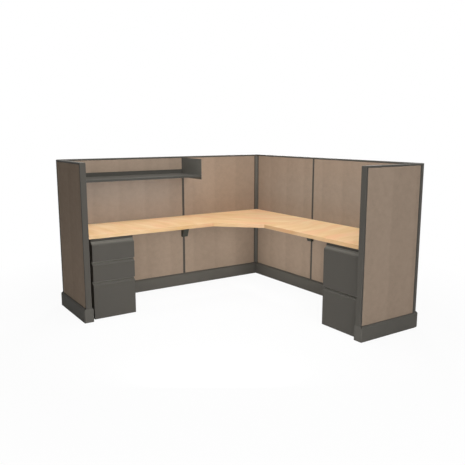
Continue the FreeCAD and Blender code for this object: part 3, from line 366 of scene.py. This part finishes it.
# Powder coat: a fine orange-peel skin with a faint drift of tone.
# Where front is given, the place of the drawer fronts, the paint grows paler behind it: painted light in
# the shaded recess of the pulls.
def powderCoat(name, colour, look, gloss=None, front=None):
    graph = newGraph(name)
    x, y, z = graph.coordinates()
    spot = graph.vector(x, y, z)
    cloud = graph.cloud(spot, look["cloudScale"])
    grain = graph.cloud(spot, 1 / look["grainSize"], detail=1)
    share = 1 + cloud.sway(look["cloudDepth"]) + grain.sway(look["speckDepth"])
    if front is not None:
        start, end = front + look["paintedLightFrom"], front + look["paintedLightTo"]
        paintedLightRange = [x.math("MAXIMUM", x, y), start, end, 1.0, look["paintedLightLift"]]
        share = share * graph.add("ShaderNodeMapRange", None, paintedLightRange)
    return graph.finish({
        "Base Color": graph.shaded(colour, share),
        "Roughness": look["roughness"] + cloud.sway(look["roughnessDrift"]),
        "Specular IOR Level": gloss or look["gloss"],
        "Normal": graph.bump(grain, look["grainTall"]),
    })


mapleLook = {
    "pale": chart(249, 214.5, 171.5),
    "deep": chart(234, 190, 133),
    "blush": chart(244, 189, 145),
    # painted shade: the edge bands are darkened by this share, holding down the stronger lamp light that
    # falls on them
    "edgePaintedShade": 0.79,
    "topGrain": {"left": 102, "right": 15, "corner": -45},  # degrees from the X axis
    "edgeGrain": {"left": 0, "right": 90, "corner": -45},  # along each front edge
    "streakWide": 0.08,
    "streakLong": 0.42,
    "streakDown": 8,  # how fast the streaks change down through the slab
    "streakStart": 0.3,  # the noise below this is pale, and above the end it is deep
    "streakEnd": 0.7,
    "blushWide": 1.4,  # a blush is this many streaks wide
    "blushDown": 5,
    "blushPlace": 9.1,
    "blushStart": 0.46,
    "blushEnd": 0.7,
    "blushMost": 0.7,
    "waver": 0.07,  # the grain strays this far to either side
    "waverAlong": 2.0,
    "waverAcross": 2.2,
    "poreWide": 0.0011,
    "poreLong": 0.05,
    "poreDepth": 0.07,
    "poreTall": 0.00002,
    "roughness": 0.42,
    "roughnessDrift": 0.08,
    "gloss": 0.4,
}


# Maple laminate: soft streaks along the grain, which wavers, and fine short pores.
# grainTurn is the way that the grain runs, in degrees from the X axis. shade darkens the colour by a share:
# painted shade on the edge bands.
def maple(name, look, grainTurn, shade=1):
    graph = newGraph(name)
    x, y, z = graph.coordinates()
    cos, sin = math.cos(math.radians(grainTurn)), math.sin(math.radians(grainTurn))
    along, across = x * cos + y * sin, y * cos - x * sin
    waverSpot = graph.vector(along * look["waverAlong"], across * look["waverAcross"], 0.0)
    waver = graph.cloud(waverSpot, detail=1)
    shifted = across + waver.sway(2 * look["waver"])
    far = along / look["streakLong"]
    streakSpot = graph.vector(far, shifted / look["streakWide"], z * look["streakDown"])
    streak = graph.cloud(streakSpot, detail=3)
    blushWide = look["streakWide"] * look["blushWide"]
    blushSpot = graph.vector(far + look["blushPlace"], shifted / blushWide, z * look["blushDown"])
    blush = graph.cloud(blushSpot, detail=1)
    poreSpot = graph.vector(along / look["poreLong"], across / look["poreWide"], z / look["poreWide"])
    pore = graph.cloud(poreSpot, detail=1)
    deepRange = [streak, look["streakStart"], look["streakEnd"], 0.0, 1.0]
    blushRange = [blush, look["blushStart"], look["blushEnd"], 0.0, look["blushMost"]]
    deepShare = graph.add("ShaderNodeMapRange", None, deepRange)
    blushShare = graph.add("ShaderNodeMapRange", None, blushRange)
    colour = graph.between(deepShare, look["pale"], look["deep"])
    colour = graph.between(blushShare, colour, look["blush"])
    share = shade * (1 + pore.sway(look["poreDepth"]))
    return graph.finish({
        "Base Color": graph.shaded(colour, share),
        "Roughness": look["roughness"] + pore.sway(look["roughnessDrift"]),
        "Specular IOR Level": look["gloss"],
        "Normal": graph.bump(pore, look["poreTall"]),
    })


steelLook = {
    "zinc": chart(196, 198, 200),
    "brushLong": 0.03,
    "brushWide": 0.0006,
    "brushTall": 0.00001,
    "patchScale": 60,
    "toneDepth": 0.18,
    "roughness": 0.34,
    "roughnessDrift": 0.16,
}


# Zinc plated strip: drawn lines along the slide, and the soft patches of the plating
def zincSteel(name, look):
    graph = newGraph(name)
    x, y, z = graph.coordinates()
    long = look["brushLong"]
    lines = graph.cloud(graph.vector((x + y) / long, (x - y) / long, z / look["brushWide"]), detail=1)
    patch = graph.cloud(graph.vector(x, y, z), look["patchScale"], detail=3)
    share = 1 + lines.sway(look["toneDepth"]) + patch.sway(look["toneDepth"])
    return graph.finish({
        "Base Color": graph.shaded(look["zinc"], share),
        "Metallic": 1.0,
        "Roughness": look["roughness"] + patch.sway(look["roughnessDrift"]),
        "Normal": graph.bump(lines, look["brushTall"]),
    })


nylonLook = {
    "colour": chart(30, 30, 31),
    "grainScale": 900,
    "grainTall": 0.00003,
    "toneDepth": 0.2,
    "roughness": 0.5,
    "roughnessDrift": 0.1,
}


def mouldedNylon(name, look):
    graph = newGraph(name)
    x, y, z = graph.coordinates()
    grain = graph.cloud(graph.vector(x, y, z), look["grainScale"])
    return graph.finish({
        "Base Color": graph.shaded(look["colour"], 1 + grain.sway(look["toneDepth"])),
        "Roughness": look["roughness"] + grain.sway(look["roughnessDrift"]),
        "Normal": graph.bump(grain, look["grainTall"]),
    })


boardLook = {
    "fibre": chart(186, 176, 156),
    "backer": chart(170, 158, 142),
    "fibreScale": 420,
    "fibreFlat": 2,  # the fibres are this many times as wide as they are thick
    "fibreDetail": 4,
    "fibreRough": 0.7,
    "fibreTall": 0.0001,
    "toneDepth": 0.3,
    "roughness": 0.86,
}


# Pressed fibre board, and the plain backing sheet under the worktops
def pressedBoard(name, colour, look):
    graph = newGraph(name)
    x, y, z = graph.coordinates()
    spot = graph.vector(x, y, z * look["fibreFlat"])
    fibre = graph.cloud(spot, look["fibreScale"], look["fibreDetail"], look["fibreRough"])
    return graph.finish({
        "Base Color": graph.shaded(colour, 1 + fibre.sway(look["toneDepth"])),
        "Roughness": look["roughness"],
        "Normal": graph.bump(fibre, look["fibreTall"]),
    })


tileCloth = panelCloth("tileCloth", fabricLook)
trimPaint = powderCoat("trimPaint", paintLook["charcoal"], paintLook)
coverPaintedLight = powderCoat("coverPaintedLight", paintLook["cover"], paintLook, paintLook["coverGloss"])
shelfPaintedShade = powderCoat("shelfPaintedShade", paintLook["shelf"], paintLook)
postPaintedLight = powderCoat("postPaintedLight", paintLook["post"], paintLook)
bracketPaintedShade = powderCoat("bracketPaintedShade", paintLook["bracket"], paintLook)
# The left pedestal's fronts stand at this Y, and the right one's at the same X
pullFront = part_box("left_top_drawer_front")[0].y
# painted light on the pulls: lighter than the fronts, and paler still towards the back of the recess
pullPaintedLight = powderCoat("pullPaintedLight", paintLook["pull"], paintLook, front=pullFront)
edgePaint = powderCoat("edgePaint", paintLook["burnished"], paintLook)
insidePaint = powderCoat("insidePaint", paintLook["inside"], paintLook)
topMaple, edgeMaple = {}, {}
for run, turn in mapleLook["topGrain"].items():
    topMaple[run] = maple(f"maple{run.title()}", mapleLook, turn)
for run, turn in mapleLook["edgeGrain"].items():
    edgeMaple[run] = maple(f"band{run.title()}", mapleLook, turn, mapleLook["edgePaintedShade"])
zinc = zincSteel("zinc", steelLook)
nylon = mouldedNylon("nylon", nylonLook)
fibreBoard = pressedBoard("fibreBoard", boardLook["fibre"], boardLook)
backingSheet = pressedBoard("backingSheet", boardLook["backer"], boardLook)
print("materials: cloth, powder coat, maple, zinc, nylon and board")


# Mesh helpers

meshLook = {
    "mergeWithin": 1e-5,  # corners closer than this become one
    "flatWithin": 0.6,  # faces that differ by fewer degrees than this become one
    "arrisSteps": 2,
    "arrisFrom": 38,  # an edge sharper than this many degrees is rounded
}


# The horizontal axis, 0 or 1, along which a box is thinner
def thinAxis(low, high):
    return 0 if high.x - low.x < high.y - low.y else 1


def showMesh(name, mesh):
    piece = bpy.data.objects.new(name, mesh)
    bpy.context.scene.collection.objects.link(piece)
    return piece


# The piece's modifiers worked into a plain mesh
def settle(piece):
    graph = bpy.context.evaluated_depsgraph_get()
    mesh = bpy.data.meshes.new_from_object(piece.evaluated_get(graph), depsgraph=graph)
    piece.modifiers.clear()
    old = piece.data
    piece.data = mesh
    bpy.data.meshes.remove(old)
    return piece


# Shading runs on over every edge that turns by fewer degrees than the angle
def smooth(mesh, angle):
    mesh.polygons.foreach_set("use_smooth", [True] * len(mesh.polygons))
    mesh.set_sharp_from_angle(angle=math.radians(angle))


# A CAD node's loose triangles joined at their corners, in a mesh of their own
def joinedCopy(node):
    work = bmesh.new()
    work.from_mesh(frame["nodes"][node].data)
    bmesh.ops.remove_doubles(work, verts=work.verts, dist=meshLook["mergeWithin"])
    return work


# The worked mesh with its finishes, smoothed up to an angle
def finishedMesh(work, name, finishes, angle):
    mesh = bpy.data.meshes.new(name)
    work.to_mesh(mesh)
    work.free()
    for finish in finishes:
        mesh.materials.append(finish)
    smooth(mesh, angle)
    return mesh


# The piece moves with the node's body, and is shown in its place with its finish
def stand(piece, node):
    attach(piece, bodyOf[node])
    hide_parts(node)


# Sheet metal with its arrises broken: the rounded edges carry the last of the paints, slightly rubbed
def brokenEdges(node, width, paints, change=None):
    work = joinedCopy(node)
    flat = math.radians(meshLook["flatWithin"])
    bmesh.ops.dissolve_limit(work, angle_limit=flat, verts=work.verts, edges=work.edges)
    if change:
        change(work)
    mesh = finishedMesh(work, f"{node}_finish", paints, meshLook["arrisFrom"])
    piece = showMesh(f"{node}_finish", mesh)
    bevel = piece.modifiers.new("arris", "BEVEL")
    bevel.width = width
    bevel.segments = meshLook["arrisSteps"]
    bevel.limit_method = "ANGLE"
    bevel.angle_limit = math.radians(meshLook["arrisFrom"])
    bevel.harden_normals = True
    bevel.material = len(paints) - 1
    stand(settle(piece), node)


# Painted and plated steel, and the nylon glides

painted = [trimPaint, edgePaint]
covered = [coverPaintedLight, edgePaint]
shelved = [shelfPaintedShade, edgePaint]
# the corner posts and the shelf ends take the lighter post paint: painted light in their shaded corners
upright = [postPaintedLight, edgePaint]
braced = [bracketPaintedShade, edgePaint]
fronted = [trimPaint, pullPaintedLight, edgePaint]
lined = [insidePaint, edgePaint]
plated = [zinc]

# node: how much its edges are rounded, in metres, and its finishes
steelWork = {
    "corner_posts": (0.0012, upright),
    "corner_post_covers": (0.0010, covered),
    "corner_caps": (0.0006, painted),
    "corner_base_covers": (0.0005, covered),
    "top_caps": (0.0004, painted),
    "end_trims": (0.0010, painted),
    "end_base_caps": (0.0006, covered),
    "wing_base_covers": (0.0005, covered),
    "narrow_base_covers": (0.0005, covered),
    "wide_base_covers": (0.0005, covered),
    "seam_brackets": (0.0008, braced),
    "corner_bracket": (0.0008, braced),
    "wing_angles": (0.0008, braced),
    "splice_plates": (0.0006, braced),
    "shelf_pan": (0.0004, shelved),
    "shelf_left_end": (0.0005, upright),
    "shelf_right_end": (0.0005, upright),
    "left_pedestal_case": (0.0005, painted),
    "right_pedestal_case": (0.0005, painted),
    "slide_channels": (0.0004, plated),
    "link_plates": (0.0004, plated),
    "levelling_glides": (0.0004, [nylon]),
}
drawers = ["left_top_drawer", "left_middle_drawer", "left_file_drawer"]
drawers += ["right_upper_drawer", "right_lower_drawer"]
for drawer in drawers:
    steelWork[f"{drawer}_box"] = (0.0004, lined)
    steelWork[f"{drawer}_runners"] = (0.0004, plated)
    steelWork[f"{drawer}_slide_links"] = (0.0004, plated)
    if f"{drawer}_folder_rails" in frame["nodes"]:
        steelWork[f"{drawer}_folder_rails"] = (0.0005, plated)
for node, (width, paints) in steelWork.items():
    brokenEdges(node, width, paints)
print(f"steel: {len(steelWork)} nodes with broken edges")

pullLook = {
    "edgeRound": 0.0010,
    "start": 0.003,  # the pull starts this far behind the front
    "tall": 0.030,
    "turned": -0.3,  # a face turned further to the front than this belongs to it
    "paint": 1,  # its place among the finishes of a drawer front
}


# Gives the slope of a full-width pull and the ledge behind it a paint of their own: a lighter paint,
# painted light in the shaded recess
def pullFaces(node):
    low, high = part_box(node)
    front = thinAxis(low, high)

    def change(work):
        for face in work.faces:
            middle = face.calc_center_median()
            deep = middle[front] - low[front] > pullLook["start"]
            if deep and face.normal[front] < pullLook["turned"] and high.z - middle.z < pullLook["tall"]:
                face.material_index = pullLook["paint"]

    return change


for node in frame["nodes"]:
    if node.endswith("_drawer_front"):
        brokenEdges(node, pullLook["edgeRound"], fronted, pullFaces(node))
print("drawer fronts: pulls in their own paint")


# Slotted uprights

slotLook = {
    "pitch": 0.0254,
    "slotWide": 0.0034,
    "slotTall": 0.0150,
    "slotRound": 0.0015,
    "slotDeep": 0.0045,
    "stripWide": 0.0118,
    "stripCount": 48,
    "roundSteps": 3,
}
uprightLook = {
    "edgeRound": 0.0008,
    "stripStart": 0.115,  # height of the strips' lower end
    "noseSunk": 0.006,  # the upright's own face lies this far behind the slotted skin
    "noseWithin": 2e-4,  # a corner so near to that face lies on it
    "endClear": 0.03,  # what lies nearer than this to the corner isn't pushed back
}
panelMiddle = 1.11125  # middle of every panel from the origin, across it
noseFace = 0.0224  # face of an upright from the middle of its panel


# The nose of an upright is pushed back to leave room for the slotted skin
def sinkNose(work):
    for vertex in work.verts:
        for axis in (0, 1):
            across = abs(vertex.co[axis]) - panelMiddle
            onFace = abs(abs(across) - noseFace) < uprightLook["noseWithin"]
            if onFace and abs(vertex.co[1 - axis]) < panelMiddle - uprightLook["endClear"]:
                vertex.co[axis] -= math.copysign(uprightLook["noseSunk"], vertex.co[axis] * across)


panelFrames = ["left_wing_frame", "back_wide_frame", "back_narrow_frame"]
panelFrames += ["side_narrow_frame", "side_wide_frame", "right_wing_frame"]
for node in panelFrames:
    brokenEdges(node, uprightLook["edgeRound"], painted, sinkNose)


# A geometry tree whose inputs are its named sizes
class GeometryTree:
    def __init__(self, name, sizes):
        self.tree = bpy.data.node_groups.new(name, "GeometryNodeTree")
        self.tree.interface.new_socket("Geometry", in_out="INPUT", socket_type="NodeSocketGeometry")
        self.tree.interface.new_socket("Geometry", in_out="OUTPUT", socket_type="NodeSocketGeometry")
        kinds = {float: "NodeSocketFloat", int: "NodeSocketInt"}
        self.sizes = dict(sizes)
        for title, value in sizes.items():
            socket = self.tree.interface.new_socket(title, in_out="INPUT", socket_type=kinds[type(value)])
            socket.default_value = value
        self.entry = self.tree.nodes.new("NodeGroupInput")
        self.exit = self.tree.nodes.new("NodeGroupOutput")

    def size(self, title):
        return self.entry.outputs[title]

    # The node itself where out is None, and otherwise one of its outputs
    def add(self, kind, settings=None, inputs=(), out=0):
        node = addNode(self.tree, kind, settings, inputs)
        return node.outputs[out] if out is not None else node

    def times(self, first, second):
        return self.add("ShaderNodeMath", {"operation": "MULTIPLY"}, [first, second])

    def vector(self, *parts):
        return self.add("ShaderNodeCombineXYZ", None, parts)

    def moved(self, geometry, shift):
        return self.add("GeometryNodeTransform", None, {"Geometry": geometry, "Translation": shift})

    # The thing at each of the points, turned where a turn is given
    def repeated(self, points, thing, turn=(0.0, 0.0, 0.0)):
        inputs = {"Points": points, "Instance": thing, "Rotation": turn}
        return self.add("GeometryNodeInstanceOnPoints", None, inputs)

    # The turn that each seed point carries
    def seedTurn(self):
        return self.add("GeometryNodeInputNamedAttribute", {"data_type": "FLOAT"}, {"Name": "turn"})

    def join(self, *parts):
        node = self.tree.nodes.new("GeometryNodeJoinGeometry")
        for part in reversed(parts):
            self.tree.links.new(part, node.inputs[0])
        return node.outputs[0]

    # The geometry is made real, given its finish and sent out
    def close(self, geometry, material):
        real = self.add("GeometryNodeRealizeInstances", None, [geometry])
        done = self.add("GeometryNodeSetMaterial", None, {"Geometry": real, "Material": material})
        self.tree.links.new(done, self.exit.inputs[0])

    # The tree grown on a piece, and settled into a plain mesh
    def grow(self, piece):
        modifier = piece.modifiers.new(self.tree.name, "NODES")
        modifier.node_group = self.tree
        for item in self.tree.interface.items_tree:
            if item.in_out == "INPUT" and item.name in self.sizes:
                modifier[item.identifier] = self.sizes[item.name]
        return settle(piece)


# Points with the turn that each repeated thing takes there
def seedPoints(name, spots, turns):
    mesh = bpy.data.meshes.new(name)
    mesh.from_pydata(spots, [], [])
    turn = mesh.attributes.new("turn", "FLOAT", "POINT")
    turn.data.foreach_set("value", turns)
    return showMesh(name, mesh)


# One cell of the strip, in the XY plane: a face with a slot in it, the slot's walls and its floor
def slottedStrip(look):
    tree = GeometryTree("slottedStrip", look)
    pitch, deep = tree.size("pitch"), tree.size("slotDeep")
    rimSize = {"Width": tree.size("stripWide"), "Height": pitch}
    rim = tree.add("GeometryNodeCurvePrimitiveQuadrilateral", None, rimSize)
    slotSize = {"Width": tree.size("slotWide"), "Height": tree.size("slotTall")}
    slot = tree.add("GeometryNodeCurvePrimitiveQuadrilateral", None, slotSize)
    rounding = {"Curve": slot, "Radius": tree.size("slotRound"), "Count": tree.size("roundSteps")}
    slot = tree.add("GeometryNodeFilletCurve", {"mode": "POLY"}, rounding)
    face = tree.add("GeometryNodeFillCurve", {"mode": "NGONS"}, [tree.join(rim, slot)])
    plug = tree.add("GeometryNodeFillCurve", {"mode": "NGONS"}, [slot])
    bottom = tree.moved(plug, tree.vector(0.0, 0.0, tree.times(deep, -1.0)))
    raising = {"Mesh": bottom, "Offset Scale": deep}
    raised = tree.add("GeometryNodeExtrudeMesh", {"mode": "FACES"}, raising, None)
    lid = raised.outputs["Top"]
    walls = tree.add("GeometryNodeDeleteGeometry", {"domain": "FACE"}, [raised.outputs["Mesh"], lid])
    walls = tree.add("GeometryNodeFlipFaces", None, [walls])
    cell = tree.join(face, walls, bottom)
    line = {
        "Count": tree.size("stripCount"),
        "Start Location": tree.vector(0.0, tree.times(pitch, 0.5), 0.0),
        "Offset": tree.vector(0.0, pitch, 0.0),
    }
    column = tree.repeated(tree.add("GeometryNodeMeshLine", None, line), cell)
    upright = tree.vector(math.pi / 2, 0.0, tree.seedTurn())
    tree.close(tree.repeated(tree.entry.outputs[0], column, upright), trimPaint)
    return tree


# Panel's thin axis and side of the panel: the turn in degrees of a strip that looks out from there
facing = {(1, -1): 0, (0, 1): 90, (1, 1): 180, (0, -1): 270}


# Where the strips stand: on both faces of both ends of each panel
def stripSeeds():
    spots, turns = [], []
    for node in panelFrames:
        low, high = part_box(node)
        thin = thinAxis(low, high)
        middle = math.copysign(panelMiddle, low[thin])
        halfWide = slotLook["stripWide"] / 2
        for end in (low[1 - thin] + halfWide, high[1 - thin] - halfWide):
            for side in (-1, 1):
                spot = [0, 0, uprightLook["stripStart"]]
                spot[thin] = middle + side * noseFace
                spot[1 - thin] = end
                spots.append(spot)
                turns.append(math.radians(facing[(thin, side)]))
    return spots, turns


strips = slottedStrip(slotLook).grow(seedPoints("slotted_strips", *stripSeeds()))
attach(strips, "workstation")
print("uprights: slotted strips on six frames")


# Fabric tiles

tileLook = {
    "edgeRound": 0.0034,
    "edgeShares": (0, 0.08, 0.25, 0.5, 0.75, 1, 2),  # grid lines near the edge, as shares of edgeRound
    "crown": 0.0005,  # the middle of a tile stands this far out
    "crownReach": 0.07,
    "crownLine": 0.25,  # the even cells start at this share of crownReach
    "cell": 0.022,
    "smoothUpTo": 60,
    "unevenness": 0.00018,
    "unevenSize": 0.11,
}


# Boxes of the separate solids of a node, in the order of their low corners rounded to so many digits
def solidBoxes(node, digits=4):
    work = joinedCopy(node)
    boxes = []
    left = set(work.verts)
    while left:
        group, fresh = set(), {left.pop()}
        while fresh:
            group |= fresh
            fresh = {edge.other_vert(vertex) for vertex in fresh for edge in vertex.link_edges} - group
        left -= group
        low = Vector([min(vertex.co[axis] for vertex in group) for axis in range(3)])
        high = Vector([max(vertex.co[axis] for vertex in group) for axis in range(3)])
        boxes.append((low, high))
    work.free()
    return sorted(boxes, key=lambda pair: [round(value, digits) for value in pair[0]])


# Grid lines along a side: close together round the edge, then even
def gridLines(length, look):
    bend = [look["edgeRound"] * share for share in look["edgeShares"]]
    first = [*bend, look["crownReach"] * look["crownLine"]]
    inner = length - 2 * first[-1]
    count = max(2, round(inner / look["cell"]))
    middle = [first[-1] + inner * step / count for step in range(1, count)]
    return first + middle + [length - place for place in reversed(first)]


# From 0 to 1 with a gentle start and end
def ease(share):
    share = min(1, max(0, share))
    return share * share * (3 - 2 * share)


# How far the cloth stands from the back of the tile, at a place on a tile of that length and thickness
def clothDepth(place, length, thick, look):
    edge = [min(value, whole - value) for value, whole in zip(place, length)]
    bend = look["edgeRound"]
    out = min(bend, math.hypot(*(max(0, bend - value) for value in edge)))
    rise = ease(edge[0] / look["crownReach"]) * ease(edge[1] / look["crownReach"])
    return thick - bend + math.sqrt(bend * bend - out * out) - look["crown"] * (1 - rise)


# A tile's crowned face, its four sides and its flat back
def fabricTile(work, low, high, look):
    thin = thinAxis(low, high)
    wide = 1 - thin
    centre = (low[thin] + high[thin]) / 2
    outward = math.copysign(1, centre) * (1 if abs(centre) > panelMiddle else -1)  # the way that it faces
    back = low[thin] if outward > 0 else high[thin]
    length = (high[wide] - low[wide], high.z - low.z)
    thick = high[thin] - low[thin]

    def point(across, up, depth):
        spot = Vector((0, 0, low.z + up))
        spot[wide] = low[wide] + across
        spot[thin] = back + outward * depth
        return spot

    columns, rows = gridLines(length[0], look), gridLines(length[1], look)
    grid = []
    for up in rows:
        line = []
        for across in columns:
            spot = point(across, up, 0)
            drift = noise.noise(spot / look["unevenSize"]) * 0.5 + 0.5
            depth = clothDepth((across, up), length, thick, look) - look["unevenness"] * drift
            line.append(work.verts.new(point(across, up, depth)))
        grid.append(line)
    for lower, upper in zip(grid, grid[1:]):
        for index in range(len(columns) - 1):
            work.faces.new((lower[index], lower[index + 1], upper[index + 1], upper[index]))
    rim = grid[0] + [line[-1] for line in grid[1:-1]] + grid[-1][::-1] + [line[0] for line in grid[-2:0:-1]]
    behind = []
    for vertex in rim:
        spot = vertex.co.copy()
        spot[thin] = back
        behind.append(work.verts.new(spot))
    for index in range(len(rim)):
        after = (index + 1) % len(rim)
        work.faces.new((rim[index], rim[after], behind[after], behind[index]))
    work.faces.new(behind)


for node in ("wing_skins", "narrow_skins", "wide_skins"):
    work = bmesh.new()
    for low, high in solidBoxes(node):
        fabricTile(work, low, high, tileLook)
    bmesh.ops.recalc_face_normals(work, faces=work.faces)
    mesh = finishedMesh(work, f"{node}_cloth", [tileCloth], tileLook["smoothUpTo"])
    stand(showMesh(f"{node}_cloth", mesh), node)
    print(f"tiles: {node}, {len(mesh.polygons)} faces")


# Worktops

topLook = {
    "edgeRound": 0.0020,
    "bandThick": 0.0030,
    "grooveWide": 0.0003,
    "grooveDeep": 0.0002,
    "underInset": 0.0010,
    "tight": 0.12,  # share of all this along a joint or against the wall
    "roundSteps": 4,
    "smoothUpTo": 30,
}
topSlot, bandSlot, underSlot = range(3)  # the places of a slab's finishes


# A point of an outline moved inwards from the two edges that meet there
def insetPoint(before, here, after, insetBefore, insetAfter):
    first = (here - before).normalized()
    second = (after - here).normalized()
    inFirst = Vector((-first.y, first.x))
    inSecond = Vector((-second.y, second.x))
    cross = first.x * second.y - first.y * second.x
    start = before + inFirst * insetBefore
    shift = here + inSecond * insetAfter - start
    travel = (shift.x * second.y - shift.y * second.x) / cross
    return start + first * travel


# The edge of a slab from its underside to its top: how far inwards, how high, and the finish of the
# face that ends there. A fine groove parts the band from the laminate.
def edgeProfile(thick, look):
    bend, joint, foot = look["edgeRound"], look["bandThick"], look["underInset"]
    profile = [(joint, 0, underSlot), (foot, 0, bandSlot), (0, foot, bandSlot), (0, thick - bend, bandSlot)]
    for step in range(1, look["roundSteps"] + 1):
        angle = math.pi / 2 * step / look["roundSteps"]
        profile.append((bend - bend * math.cos(angle), thick - bend + bend * math.sin(angle), bandSlot))
    profile.append((joint - look["grooveWide"], thick, bandSlot))
    profile.append((joint, thick - look["grooveDeep"], bandSlot))
    profile.append((joint + look["grooveWide"], thick, topSlot))
    return profile


# The slab of a run with a laid-on edge band. outline runs anticlockwise; shown says which sides show
# their band.
def worktop(run, outline, shown, look):
    node = f"{run}_worktop"
    low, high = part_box(node)
    points = [Vector(point) for point in outline]
    profile = edgeProfile(high.z - low.z, look)
    work = bmesh.new()
    rings = []
    for inset, up, _ in profile:
        insets = [inset * (1 if seen else look["tight"]) for seen in shown]
        ring = []
        for index, here in enumerate(points):
            after = points[(index + 1) % len(points)]
            spot = insetPoint(points[index - 1], here, after, insets[index - 1], insets[index])
            ring.append(work.verts.new((spot.x, spot.y, low.z + up)))
        rings.append(ring)
    for (lower, upper), (_, _, finish) in zip(zip(rings, rings[1:]), profile[1:]):
        for index in range(len(points)):
            after = (index + 1) % len(points)
            face = work.faces.new((lower[index], lower[after], upper[after], upper[index]))
            face.material_index = finish
    work.faces.new(rings[-1]).material_index = topSlot
    work.faces.new(rings[0][::-1]).material_index = underSlot
    bmesh.ops.recalc_face_normals(work, faces=work.faces)
    finishes = [topMaple[run], edgeMaple[run], backingSheet]
    mesh = finishedMesh(work, f"{node}_laminate", finishes, look["smoothUpTo"])
    stand(showMesh(f"{node}_laminate", mesh), node)


def boxOutline(low, high):
    return [(low.x, low.y), (high.x, low.y), (high.x, high.y), (low.x, high.y)]


leftLow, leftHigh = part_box("left_worktop")
rightLow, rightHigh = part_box("right_worktop")
cornerLow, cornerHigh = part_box("corner_worktop")
leftShown = [True, False, False, False]
rightShown = [False, False, False, True]
worktop("left", boxOutline(leftLow, leftHigh), leftShown, topLook)
worktop("right", boxOutline(rightLow, rightHigh), rightShown, topLook)
cornerOutline = [
    (cornerLow.x, leftLow.y),  # the front runs slantwise between the fronts of the two runs
    (rightLow.x, cornerLow.y),
    (cornerHigh.x, cornerLow.y),
    (cornerHigh.x, cornerHigh.y),
    (cornerLow.x, cornerHigh.y),
]
cornerShown = [True, False, False, False, False]
worktop("corner", cornerOutline, cornerShown, topLook)
print("worktops: three slabs with edge bands")


# Screws

screwLook = {
    "headRadius": 0.0040,
    "headTall": 0.0024,
    "headSides": 20,
    "crown": 0.72,  # top of the head as a share of its foot
    "shankRadius": 0.0020,
    "shankLong": 0.0160,
    "shankSides": 12,
    "recessLong": 0.0042,
    "recessWide": 0.0010,
    "recessDeep": 0.0013,
    "recessTurn": 0.4,
}
screwSmoothUpTo = 30


# A pan head with a crossed recess on its shank; the head points up from each seat, or down
def crossScrew(look):
    tree = GeometryTree("crossScrew", look)
    tall, long = tree.size("headTall"), tree.size("shankLong")
    headSize = {
        "Vertices": tree.size("headSides"),
        "Radius Top": tree.times(tree.size("headRadius"), tree.size("crown")),
        "Radius Bottom": tree.size("headRadius"),
        "Depth": tall,
    }
    head = tree.add("GeometryNodeMeshCone", None, headSize)
    cuts = []
    for sides in (("recessLong", "recessWide"), ("recessWide", "recessLong")):
        size = tree.vector(tree.size(sides[0]), tree.size(sides[1]), tree.size("recessDeep"))
        cut = tree.add("GeometryNodeMeshCube", None, {"Size": size})
        cuts.append(tree.moved(cut, tree.vector(0.0, 0.0, tall)))
    union = {"operation": "UNION", "solver": "EXACT"}
    tool = tree.add("GeometryNodeMeshBoolean", union, {"Mesh 2": cuts[0]}, None)
    tree.tree.links.new(cuts[1], tool.inputs["Mesh 2"])  # the same socket takes both
    difference = {"operation": "DIFFERENCE", "solver": "EXACT"}
    cutting = {"Mesh 1": head, "Mesh 2": tool.outputs[0]}
    head = tree.add("GeometryNodeMeshBoolean", difference, cutting)
    shankSize = {"Vertices": tree.size("shankSides"), "Radius": tree.size("shankRadius"), "Depth": long}
    shank = tree.add("GeometryNodeMeshCylinder", None, shankSize)
    shank = tree.moved(shank, tree.vector(0.0, 0.0, tree.times(long, -0.5)))
    tip = tree.vector(tree.seedTurn(), 0.0, tree.size("recessTurn"))
    tree.close(tree.repeated(tree.entry.outputs[0], tree.join(head, shank), tip), zinc)
    return tree


screwTree = crossScrew(screwLook)
for node, turn, seatsHigh in (("link_screws", 0, True), ("worktop_screws", math.pi, False)):
    seats = []
    for low, high in solidBoxes(node):
        seat = high.z - screwLook["headTall"] if seatsHigh else low.z + screwLook["headTall"]
        seats.append(((low.x + high.x) / 2, (low.y + high.y) / 2, seat))
    piece = screwTree.grow(seedPoints(f"{node}_finish", seats, [turn] * len(seats)))
    smooth(piece.data, screwSmoothUpTo)
    stand(piece, node)
    print(f"screws: {node}, {len(seats)}")


# Boards inside the panels keep their CAD shape

boards = frame["nodes"]["acoustic_boards"]
boards.data.materials.clear()
boards.data.materials.append(fibreBoard)
print("boards: fibre board inside the panels")
